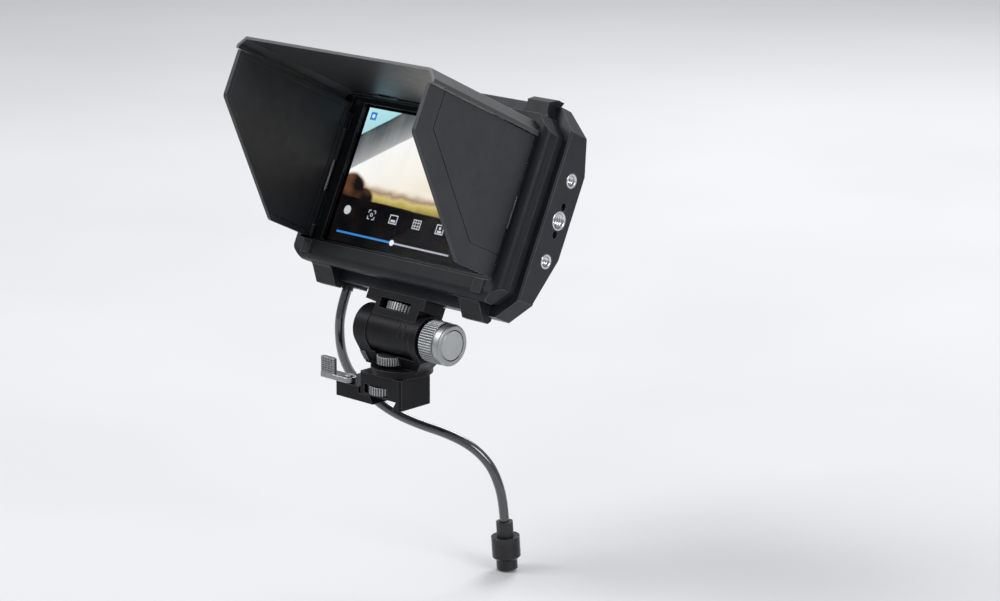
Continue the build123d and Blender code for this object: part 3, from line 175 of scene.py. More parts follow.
def lattice_faces(rows: int, columns: int, wrap: bool) -> np.ndarray:
    """Quads that join a lattice of points, whole arrays at a time.

    Args:
        rows: Number of rows of points.
        columns: Number of points in a row.
        wrap: Whether a row's last point joins its first.

    Returns:
        An array of quads, four point numbers each, anticlockwise when seen from the outside.
    """
    spans = columns if wrap else columns - 1
    row, column = np.meshgrid(np.arange(rows - 1), np.arange(spans), indexing="ij")
    after = (column + 1) % columns
    corners = [row * columns + column, row * columns + after]
    corners += [(row + 1) * columns + after, (row + 1) * columns + column]
    return np.stack(corners, axis=-1).reshape(-1, 4)


def linked(name: str, data: bpy.types.ID) -> bpy.types.Object:
    """Makes an object at the origin from its data and links it to the scene.

    Args:
        name: Name of the object.
        data: Its mesh, curve, light or camera.

    Returns:
        The linked object.
    """
    made = bpy.data.objects.new(name, data)
    bpy.context.scene.collection.objects.link(made)
    return made


def new_object(
    name: str, points: np.ndarray, faces: np.ndarray, smooth: bool = True
) -> bpy.types.Object:
    """Makes a mesh object at the origin from arrays of points and faces of one size.

    Args:
        name: Name of the object.
        points: An array of points in the row frame, in metres.
        faces: An array of faces, each a row of point numbers.
        smooth: Whether the faces are shaded smooth.

    Returns:
        The linked object.
    """
    mesh = bpy.data.meshes.new(name)
    sides = faces.shape[1]
    mesh.vertices.add(len(points))
    mesh.vertices.foreach_set("co", points.astype(np.float32).ravel())
    mesh.loops.add(faces.size)
    mesh.loops.foreach_set("vertex_index", faces.astype(np.int32).ravel())
    mesh.polygons.add(len(faces))
    mesh.polygons.foreach_set("loop_start", np.arange(0, faces.size, sides, dtype=np.int32))
    mesh.polygons.foreach_set("use_smooth", np.full(len(faces), smooth))
    mesh.update(calc_edges=True)
    mesh.validate()
    LOG.info("%s: %d faces", name, len(faces))
    return linked(name, mesh)


def lattice_object(name: str, points: Lattice, wrap: bool) -> bpy.types.Object:
    """Makes an object from one lattice in metres, whose rows close into rings when they wrap."""
    rows, columns, _ = points.shape
    return new_object(name, points.reshape(-1, 3), lattice_faces(rows, columns, wrap))


def joined(parts: Sequence[tuple[np.ndarray, np.ndarray]]) -> tuple[np.ndarray, np.ndarray]:
    """Joins point and face arrays, with the face numbers moved on.

    Args:
        parts: Pairs of points and faces.

    Returns:
        All the points and all the faces.
    """
    starts = np.cumsum([0] + [len(points) for points, _ in parts[:-1]])
    faces = [faces + start for start, (_, faces) in zip(starts, parts)]
    return np.concatenate([points for points, _ in parts]), np.concatenate(faces)


def own(piece: bpy.types.Object, body: Body, slot: Slot, *nodes: str) -> None:
    """Gives a new piece its CAD body and hides the CAD nodes that it stands for.

    Args:
        piece: The new piece.
        body: The CAD body that it moves with.
        slot: The record's slot for its finish; not used.
        nodes: CAD nodes that it replaces.
    """
    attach(piece, body.value)
    if nodes:
        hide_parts(*nodes)


class Shader:
    """A procedural material under construction, with Object coordinates as its usual space."""

    def __init__(self, name: str) -> None:
        """Starts a Principled material.

        Args:
            name: Name of the material.
        """
        self.material = bpy.data.materials.new(name)
        self.material.use_nodes = True
        self.tree = self.material.node_tree
        self.surface = self.tree.nodes["Principled BSDF"]
        self.space = self.tree.nodes.new("ShaderNodeTexCoord").outputs["Object"]
        self.uv = self.space.node.outputs["UV"]

    def node(self, kind: str, **settings: object) -> bpy.types.Node:
        """Adds a node.

        Args:
            kind: The node's type, without its ShaderNode prefix.
            settings: Values of the node's own properties.

        Returns:
            The node.
        """
        made = self.tree.nodes.new("ShaderNode" + kind)
        for key, value in settings.items():
            setattr(made, key, value)
        return made

    def join(self, source: object, target: Socket) -> None:
        """Links a socket to an input, or sets the input's value.

        Args:
            source: An output socket, or a plain value.
            target: The input.
        """
        if isinstance(source, Socket):
            self.tree.links.new(source, target)
        else:
            target.default_value = source

    def math(self, operation: str, first: object, second: object = 0.0) -> Socket:
        """Adds a Math node.

        Args:
            operation: Its operation.
            first: First socket or number.
            second: Second socket or number.

        Returns:
            Its output.
        """
        made = self.node("Math", operation=operation)
        self.join(first, made.inputs[0])
        self.join(second, made.inputs[1])
        return made.outputs[0]

    def times(self, first: object, second: object) -> Socket:
        """The product of two values."""
        return self.math("MULTIPLY", first, second)

    def stretched(self, scale: Sequence[float]) -> Socket:
        """The object's coordinates multiplied along each axis.

        Args:
            scale: Three factors.

        Returns:
            The vector output.
        """
        made = self.node("VectorMath", operation="MULTIPLY")
        self.join(self.space, made.inputs[0])
        made.inputs[1].default_value = tuple(scale)
        return made.outputs["Vector"]

    def noise(
        self, size_mm: float, detail: float, stretch: Sequence[float] = (1.0, 1.0, 1.0)
    ) -> Socket:
        """Noise whose features have about the given size.

        Args:
            size_mm: Size of a feature, in millimetres.
            detail: Number of finer layers.
            stretch: Factors along each axis; a small one draws the noise out.

        Returns:
            The noise's factor.
        """
        made = self.node("TexNoise")
        self.join(self.stretched(stretch), made.inputs["Vector"])
        made.inputs["Scale"].default_value = 1.0 / (size_mm * MM)
        made.inputs["Detail"].default_value = detail
        made.inputs["Roughness"].default_value = 0.55
        return made.outputs["Fac"]

    def ramp(self, factor: object, stops: Sequence[tuple[float, Colour]]) -> Socket:
        """A colour ramp.

        Args:
            factor: What it reads.
            stops: Pairs of a place between 0 and 1 and a colour.

        Returns:
            The colour output.
        """
        made = self.node("ValToRGB")
        made.color_ramp.interpolation = "LINEAR"
        elements = made.color_ramp.elements
        while len(elements) < len(stops):
            elements.new(0.5)
        for element, (place, colour) in zip(elements, stops):
            element.position = place
            element.color = (*colour, 1.0)
        self.join(factor, made.inputs["Fac"])
        return made.outputs["Color"]

    def span(
        self, value: object, low: float, high: float, start: float = 0.0, end: float = 1.0
    ) -> Socket:
        """Maps low to high onto start to end, clamped.

        Args:
            value: What it reads.
            low: Value that gives start.
            high: Value that gives end.
            start: Result at low.
            end: Result at high.

        Returns:
            The mapped value.
        """
        made = self.node("MapRange")
        for socket, number in zip(made.inputs, (value, low, high, start, end)):
            self.join(number, socket)
        return made.outputs["Result"]

    def mix(self, factor: object, first: object, second: object) -> Socket:
        """Mixes two colours.

        Args:
            factor: Share of the second.
            first: Colour or socket.
            second: Colour or socket.

        Returns:
            The mixed colour.
        """
        made = self.node("Mix", data_type="RGBA")
        self.join(factor, made.inputs["Factor"])
        for name, colour in (("A", first), ("B", second)):
            socket = [s for s in made.inputs if s.name == name and s.type == "RGBA"][0]
            self.join((*colour, 1.0) if isinstance(colour, tuple) else colour, socket)
        return [s for s in made.outputs if s.type == "RGBA"][0]

    def bump(self, height: object, depth_mm: float, under: Optional[Socket] = None) -> Socket:
        """Bumps the surface.

        Args:
            height: Height between 0 and 1.
            depth_mm: What a height of 1 stands for, in millimetres.
            under: Normal that the bump is laid on.

        Returns:
            The bumped normal.
        """
        made = self.node("Bump")
        made.inputs["Strength"].default_value = 1.0
        made.inputs["Distance"].default_value = depth_mm * MM
        self.join(height, made.inputs["Height"])
        if under is not None:
            self.join(under, made.inputs["Normal"])
        return made.outputs["Normal"]

    def rounded(self, radius_mm: float) -> Socket:
        """A normal that rounds the edges by a small radius.

        Args:
            radius_mm: The radius, in millimetres.

        Returns:
            The normal.
        """
        made = self.node("Bevel", samples=BEVEL_SAMPLES)
        made.inputs["Radius"].default_value = radius_mm * MM
        return made.outputs["Normal"]

    def edges(self, rounded_normal: Socket) -> Socket:
        """Where the rounded normal leaves the true one: 1 on an edge, 0 on a face.

        Args:
            rounded_normal: What rounded() gave.

        Returns:
            The mask.
        """
        made = self.node("VectorMath", operation="DOT_PRODUCT")
        self.join(rounded_normal, made.inputs[0])
        self.join(self.node("NewGeometry").outputs["Normal"], made.inputs[1])
        return self.span(made.outputs["Value"], FACE_COSINE, EDGE_COSINE)

    def open_air(self, reach_mm: float) -> Socket:
        """How open a point is: 0 down in a narrow groove, 1 on a free face.

        Args:
            reach_mm: How far away a wall still counts.

        Returns:
            The mask.
        """
        seen = self.node("AmbientOcclusion")
        seen.samples = AIR_SAMPLES
        seen.inputs["Distance"].default_value = reach_mm * MM
        return self.span(seen.outputs["AO"], CLOSED_SKY, 1.0)

    def set(self, **values: object) -> None:
        """Sets or links the surface's inputs, named with underscores for spaces."""
        for name, value in values.items():
            self.join(value, self.surface.inputs[name.replace("_", " ")])

    def glow(self, colour: Socket, gloss: float) -> None:
        """Lets a black surface of the given roughness glow in a colour, as a lit screen does."""
        self.set(Base_Color=(0.0, 0.0, 0.0, 1.0), Roughness=gloss)
        self.set(Emission_Color=colour, Emission_Strength=1.0)


@dataclass(frozen=True)
class Finish:
    """A rigid finish: base and mottling colours, gloss, grain, brushing, painted edge highlights
    and painted groove shade.

    Attributes:
        name: Name of the material.
        colour: Main colour.
        mottle: Colour that the slow mottling drifts to.
        gloss: Lowest and highest roughness.
        metallic: How metallic it is.
        grain_mm: Size of the surface grain.
        depth_mm: Height of the grain.
        edge: Colour of the painted highlights along the edges, or None.
        edge_mm: Radius that edges are rounded to.
        streak: Direction of brushing, or None.
        coat: Weight of a clear coat.
        specular: Level of the dielectric reflection.
        knurl: Whether flat faces across Y carry a cut diamond knurl.
        crease_mm: Reach within which grooves are darkened with painted shade, or 0.
    """

    name: str
    colour: Colour
    mottle: Colour
    gloss: tuple[float, float]
    metallic: float = 0.0
    grain_mm: float = 0.35
    depth_mm: float = 0.012
    edge: Optional[Colour] = None
    edge_mm: float = 0.35
    streak: Optional[Streak] = None
    coat: float = 0.0
    specular: float = 0.5
    knurl: bool = False
    crease_mm: float = 0.0

    def build(self) -> bpy.types.Material:
        """Builds the material.

        Returns:
            The material.
        """
        shader = Shader(self.name)
        slow = shader.noise(DRIFT_MM, 4.0)
        fine = shader.noise(self.grain_mm, 2.0)
        colour = shader.mix(shader.span(slow, 0.35, 0.7), self.colour, self.mottle)
        gloss = shader.span(shader.noise(GLOSS_PATCH_MM, 5.0), 0.3, 0.7, *self.gloss)
        normal = shader.rounded(self.edge_mm)
        if self.edge is not None:
            # The edge colour is a painted highlight along the rounded edges, patchy with the slow
            # mottling.
            patchy = shader.span(slow, 0.2, 0.6, 0.45, 1.0)
            edge_highlight = shader.times(shader.edges(normal), patchy)
            if self.crease_mm:
                # Painted shade: narrow grooves go to near black, and the painted edge highlight is
                # kept out of them.
                free = shader.open_air(self.crease_mm)
                edge_highlight = shader.times(edge_highlight, free)
                colour = shader.mix(free, GROOVE_SHADE, colour)
            colour = shader.mix(edge_highlight, colour, self.edge)
        if self.streak is not None:
            drawn = shader.noise(BRUSH_LINE_MM, 6.0, self.streak.value)
            normal = shader.bump(drawn, BRUSH_DEPTH_MM, normal)
            gloss = shader.math("ADD", gloss, shader.span(drawn, 0.3, 0.7, -0.07, 0.07))
        if self.knurl:
            cut = self.diamonds(shader)
            # Painted shade: the knurl's dips are darkened to near black.
            colour = shader.mix(shader.span(cut, 0.0, -0.5), colour, GROOVE_SHADE)
            normal = shader.bump(cut, KNURL_DEPTH_MM, normal)
        normal = shader.bump(fine, self.depth_mm, normal)
        shader.set(Base_Color=colour, Roughness=gloss, Metallic=self.metallic, Normal=normal)
        shader.set(Specular_IOR_Level=self.specular)
        if self.coat:
            shader.set(Coat_Weight=self.coat, Coat_Roughness=0.12)
        return shader.material

    @staticmethod
    def diamonds(shader: Shader) -> Socket:
        """Heights of a diamond knurl on faces that look along Y: the product of two sine waves.

        One wave runs with x + z and the other with x - z, so that their ridges cross.

        Args:
            shader: The material under construction.

        Returns:
            The height, 0 elsewhere.
        """
        place = shader.node("SeparateXYZ")
        shader.join(shader.space, place.inputs[0])
        up = shader.math("ADD", place.outputs["X"], place.outputs["Z"])
        down = shader.math("SUBTRACT", place.outputs["X"], place.outputs["Z"])
        turn = 2.0 * math.pi / (KNURL_PITCH_MM * MM)
        ridges = [shader.math("SINE", shader.times(way, turn)) for way in (up, down)]
        crossed = shader.times(*ridges)
        facing = shader.node("SeparateXYZ")
        shader.join(shader.node("NewGeometry").outputs["Normal"], facing.inputs[0])
        flat = shader.math("GREATER_THAN", shader.math("ABSOLUTE", facing.outputs["Y"]), 0.9)
        high = shader.math("GREATER_THAN", place.outputs["Z"], KNURL_LOW_MM * MM)
        return shader.times(crossed, shader.times(flat, high))


@dataclass
class VideoCord:
    """The glossy video cable, from its plug's boot under the cage to its far connector.

    Attributes:
        radius_mm: Half its diameter.
        length_mm: Its real length between the boot and the far collar; not used.
        route_mm: Control points of its line in the row frame.
    """

    radius_mm: float = 2.9
    length_mm: float = 197.6
    route_mm: Sequence[tuple[float, float, float]] = (
        (-52.0, 10.464, 55.699), (-52.0, 4.327, 43.116), (-53.5, 5.4, 26.5),
        (-57.2, 12.0, 12.5), (-58.5, 21.0, -1.0), (-52.0, 29.5, -13.0),
        (-40.0, 36.0, -22.0), (-24.0, 41.5, -27.0), (-8.0, 49.0, -31.0),
        (4.5, 57.0, -38.0), (12.5, 63.5, -48.5), (16.5, 67.0, -60.5),
        (18.5, 69.0, -73.0), (19.0, 69.5, -84.0),
    )

    def build(self) -> None:
        curve = bpy.data.curves.new("video_cord", "CURVE")
        curve.dimensions = "3D"
        curve.bevel_depth = self.radius_mm * MM
        curve.bevel_resolution = 8
        curve.resolution_u = 24
        curve.use_fill_caps = True
        spline = curve.splines.new("NURBS")
        spline.points.add(len(self.route_mm) - 1)
        route = np.array(self.route_mm) * MM
        spline.points.foreach_set("co", np.column_stack([route, np.ones(len(route))]).ravel())
        spline.order_u = 3
        spline.use_endpoint_u = True
        cord = linked("video_cord", curve)
        cord.data.materials.append(self.sheath())
        own(cord, Body.MONITOR, Slot.CABLE, "video_cable")

    @staticmethod
    def sheath() -> bpy.types.Material:
        """The cable's sheath: glossy black, faintly rippled by the extruder.

        Returns:
            The material.
        """
        shader = Shader("cord_sheath")
        ripple = shader.noise(3.0, 2.0)
        fine = shader.noise(0.4, 2.0)
        normal = shader.bump(fine, 0.004, shader.bump(ripple, 0.06))
        gloss = shader.span(shader.noise(9.0, 4.0), 0.3, 0.7, 0.10, 0.18)
        black, blue_black = (0.010, 0.010, 0.013), (0.018, 0.019, 0.024)
        colour = shader.mix(shader.span(ripple, 0.3, 0.7), black, blue_black)
        shader.set(Base_Color=colour, Roughness=gloss, Normal=normal)
        shader.set(IOR=1.7, Coat_Weight=1.0, Coat_Roughness=0.05)
        return shader.material


@dataclass
class TiltKnob:
    """The knurled lock knob on the tilt axle: a turned body with straight flutes and a ringed face.

    Attributes:
        start_mm: X where it starts.
        teeth: Number of flutes.
        flute_mm: Depth of the flutes.
        knurl_mm: First and last distance from the start that is fluted.
        fade_mm: Length over which a flute fades at each end.
        rim_mm: Radius at which the flutes begin, and the one at which they are full.
        steps: Number of even steps along the profile.
        flute_points: Number of points across a flute.
        profile_mm: Distance from the start and radius, from the bore out and back in.
    """

    start_mm: float = 27.0
    teeth: int = 48
    flute_mm: float = 0.5
    knurl_mm: tuple[float, float] = (0.5, 10.3)
    fade_mm: float = 0.4
    rim_mm: tuple[float, float] = (11.4, 11.9)
    steps: int = 90
    flute_points: int = 10
    profile_mm: Sequence[tuple[float, float]] = (
        (0.6, 4.2), (0.0, 4.8), (0.0, 11.2), (0.15, 11.7), (0.6, 12.15),
        (5.2, 12.2), (10.2, 12.15), (10.6, 11.65), (11.0, 11.6), (11.5, 12.0),
        (14.4, 12.05), (15.2, 11.85), (15.75, 11.4), (16.0, 10.8), (16.0, 9.25),
        (15.9, 8.95), (15.5, 8.8), (14.4, 8.75), (14.1, 8.5),
    )

    def build(self) -> None:
        """Builds the knob: the profile turned about the axle, less the flutes' dips."""
        knots = np.array(self.profile_mm)
        walk = np.concatenate([[0.0], np.cumsum(np.hypot(*np.diff(knots, axis=0).T))])
        steps = np.unique(np.concatenate([np.linspace(0.0, walk[-1], self.steps), walk]))
        along, radius = (np.interp(steps, walk, column) for column in knots.T)
        angle = full_turn(self.teeth * self.flute_points)
        # A flute is the dip of a cosine, narrower than its ridge, and it fades at both ends.
        dip = (0.5 - 0.5 * np.cos(self.teeth * angle)) ** 1.6
        rise = np.clip((along - self.knurl_mm[0]) / self.fade_mm, 0.0, 1.0)
        fall = np.clip((self.knurl_mm[1] - along) / self.fade_mm, 0.0, 1.0)
        start, full = self.rim_mm
        outside = np.clip((radius - start) / (full - start), 0.0, 1.0)
        radii = radius[:, None] - self.flute_mm * (rise * fall * outside)[:, None] * dip[None, :]
        x = np.broadcast_to((self.start_mm + along)[:, None], radii.shape)
        height = AXLE_HEIGHT_MM + radii * np.sin(angle)
        points = np.stack([x, radii * np.cos(angle), height], axis=-1)
        knob = lattice_object("tilt_knob_turned", points[:, ::-1] * MM, wrap=True)
        knob.data.materials.append(BRIGHT.build())
        own(knob, Body.KNOB, Slot.BRIGHT_METAL, "tilt_knob")


@dataclass
class HingeSprings:
    """The coil springs round the side flaps' hinge pins.

    Attributes:
        places_mm: Side's name, X and Y of each pin in the upright monitor's frame.
        low_mm: Z of the lowest turn.
        high_mm: Z of the highest turn.
        coil_mm: Radius of the coil, to the middle of the wire.
        wire_mm: Radius of the wire.
        turns: Number of turns.
        turn_steps: Number of steps in a turn.
        wire_corners: Number of corners round the wire.
    """

    places_mm: Sequence[tuple[str, float, float]] = (("left", -73.65, 5.0), ("right", 73.65, 1.9))
    low_mm: float = -13.3
    high_mm: float = 4.1
    coil_mm: float = 1.24
    wire_mm: float = 0.25
    turns: int = 22
    turn_steps: int = 28
    wire_corners: int = 10

    def build(self) -> None:
        """Builds both springs, each a tube swept along a helix."""
        last = 2.0 * math.pi * self.turns
        turn = np.linspace(0.0, last, self.turns * self.turn_steps)[:, None]
        ring = full_turn(self.wire_corners)[None, :]
        # From the helix's middle line, the tube goes out along the radius and up along the axis.
        reach = self.coil_mm + self.wire_mm * np.cos(ring)
        climb = self.low_mm + (self.high_mm - self.low_mm) * turn / turn[-1]
        height = climb + self.wire_mm * np.sin(ring)
        for side, x, y in self.places_mm:
            coil = [x + reach * np.cos(turn), y + reach * np.sin(turn), height]
            points = np.stack(coil, axis=-1)
            spring = lattice_object(f"{side}_coil_spring", lean(points), wrap=True)
            spring.data.materials.append(STEEL.build())
            own(spring, Body.MONITOR, Slot.STEEL, f"{side}_hinge_spring")


@dataclass
class ThreadedInserts:
    """Plated inserts in the cage's sides, with the turns of the thread cut inside.

    Attributes:
        node: CAD node that they replace.
        heights_mm: Z of each in the upright monitor's frame.
        bore_mm: Minor radius of the thread.
        pitch_mm: Pitch of the thread.
        outer_mm: Radius outside.
        depth_mm: Length of the insert.
        face_x_mm: Distance of the cage's side from the middle.
        y_mm: Y of the inserts in the upright monitor's frame.
        corners: Number of points round the insert.
        pitch_steps: Number of steps down a pitch.
        lead_mm: Depth at which the thread starts.
        fade_mm: Depth over which it grows to its full height.
        floor_gap_mm: What the thread leaves free at the insert's end.
    """

    node: str
    heights_mm: Sequence[float]
    bore_mm: float
    pitch_mm: float
    outer_mm: float
    depth_mm: float = 8.0
    face_x_mm: float = 84.0
    y_mm: float = 30.0
    corners: int = 64
    pitch_steps: int = 12
    lead_mm: float = 0.7
    fade_mm: float = 0.6
    floor_gap_mm: float = 0.4

    def build(self) -> None:
        """Builds the inserts of both sides as one object."""
        parts = []
        for side in (-1, 1):
            for height in self.heights_mm:
                points = self.one(side, height)
                faces = lattice_faces(*points.shape[:2], wrap=True)
                # The left side mirrors the right, so its quads are turned round to face outwards.
                parts.append((points.reshape(-1, 3), faces if side > 0 else faces[:, ::-1]))
        points, faces = joined(parts)
        inserts = new_object(self.node + "_cut", lean(points), faces)
        inserts.data.materials.append(PLATED.build())
        own(inserts, Body.MONITOR, Slot.STEEL, self.node)

    def one(self, side: int, height: float) -> Lattice:
        """One insert's lattice: round the outside, over the rim, and down the thread.

        The thread's wall goes out from the minor radius by a triangle wave of the depth in pitches
        less the share of a turn, so that its crests wind in a helix.

        Args:
            side: 1 on the right, -1 on the left.
            height: Z of the insert.

        Returns:
            Points in the upright monitor's frame, in millimetres.
        """
        angle = full_turn(self.corners)
        steps = int(self.depth_mm / self.pitch_mm * self.pitch_steps)
        depth = np.linspace(self.lead_mm, self.depth_mm - self.floor_gap_mm, steps)
        phase = (depth[:, None] / self.pitch_mm - angle[None, :] / (2.0 * math.pi)) % 1.0
        groove = np.clip(1.15 - 2.4 * np.abs(phase - 0.5), 0.0, 1.0)
        grown = np.clip((depth[:, None] - self.lead_mm) / self.fade_mm, 0.0, 1.0)
        bore = self.bore_mm + 0.5 * self.pitch_mm * groove * grown
        outer = self.outer_mm
        rim = np.array([[self.depth_mm, outer], [0.35, outer], [0.05, outer - 0.3]])
        lip = np.array([[0.05, self.bore_mm + 0.75], [0.3, self.bore_mm + 0.4]])
        flat = np.vstack([rim, lip])
        way = np.concatenate([flat[:, 0], depth])[:, None]
        radii = np.vstack([np.repeat(flat[:, 1:], self.corners, axis=1), bore])
        x = side * (self.face_x_mm - np.broadcast_to(way, radii.shape))
        y = self.y_mm + radii * np.cos(angle)
        return np.stack([x, y, height + radii * np.sin(angle)], axis=-1)


@dataclass
class Marks:
    """Flat marks of one colour on the screen, gathered as quads in the screen's own plane.

    Attributes:
        name: Name of the piece.
        colour: Colour that they glow in.
        y_mm: Depth of their plane in the upright monitor's frame.
        parts: Points and faces gathered so far.
    """

    name: str
    colour: Colour
    y_mm: float
    parts: list[tuple[np.ndarray, np.ndarray]] = field(default_factory=list)

    def ring(self, x: float, z: float, inner: float, outer: float, corners: int = 32) -> None:
        """Adds a ring, or a polygon's frame when it has few corners.

        Args:
            x: Middle across.
            z: Middle up.
            inner: Inner radius.
            outer: Outer radius.
            corners: Number of corners.
        """
        angle = full_turn(corners)
        radii = np.array([outer, inner])[:, None]
        depth = np.full((2, corners), self.y_mm)
        points = np.stack([x + radii * np.cos(angle), depth, z + radii * np.sin(angle)], axis=-1)
        self.parts.append((points.reshape(-1, 3), lattice_faces(2, corners, wrap=True)))

    def disc(self, x: float, z: float, radius: float, corners: int = 32) -> None:
        """Adds a disc: a ring whose hole is too small to be seen."""
        self.ring(x, z, PIN_HOLE_MM, radius, corners)

    def bar(self, left: float, low: float, right: float, high: float) -> None:
        """Adds an upright rectangle.

        Args:
            left: Left edge.
            low: Lower edge.
            right: Right edge.
            high: Upper edge.
        """
        corners = [(left, low), (right, low), (right, high), (left, high)]
        points = np.array([(x, self.y_mm, z) for x, z in corners])
        self.parts.append((points, np.array([[0, 1, 2, 3]])))

    def frame(self, x: float, z: float, wide: float, high: float, line: float) -> None:
        """Adds a rectangle's outline.

        Args:
            x: Middle across.
            z: Middle up.
            wide: Width outside.
            high: Height outside.
            line: Width of the line.
        """
        left, right, low, top = x - wide / 2, x + wide / 2, z - high / 2, z + high / 2
        self.bar(left, low, right, low + line)
        self.bar(left, top - line, right, top)
        self.bar(left, low, left + line, top)
        self.bar(right - line, low, right, top)

    def build(self) -> None:
        """Builds the marks as one glowing piece on the monitor."""
        points, faces = joined(self.parts)
        made = new_object(self.name, lean(points), faces, smooth=False)
        shader = Shader(self.name)
        # The pixels' rows are just visible as a faint unevenness of the light.
        grid = shader.span(shader.noise(0.3, 1.0), 0.3, 0.7)
        dim = tuple(0.86 * part for part in self.colour)
        shader.glow(shader.mix(grid, dim, self.colour), gloss=0.4)
        made.data.materials.append(shader.material)
        own(made, Body.MONITOR, Slot.PANEL)


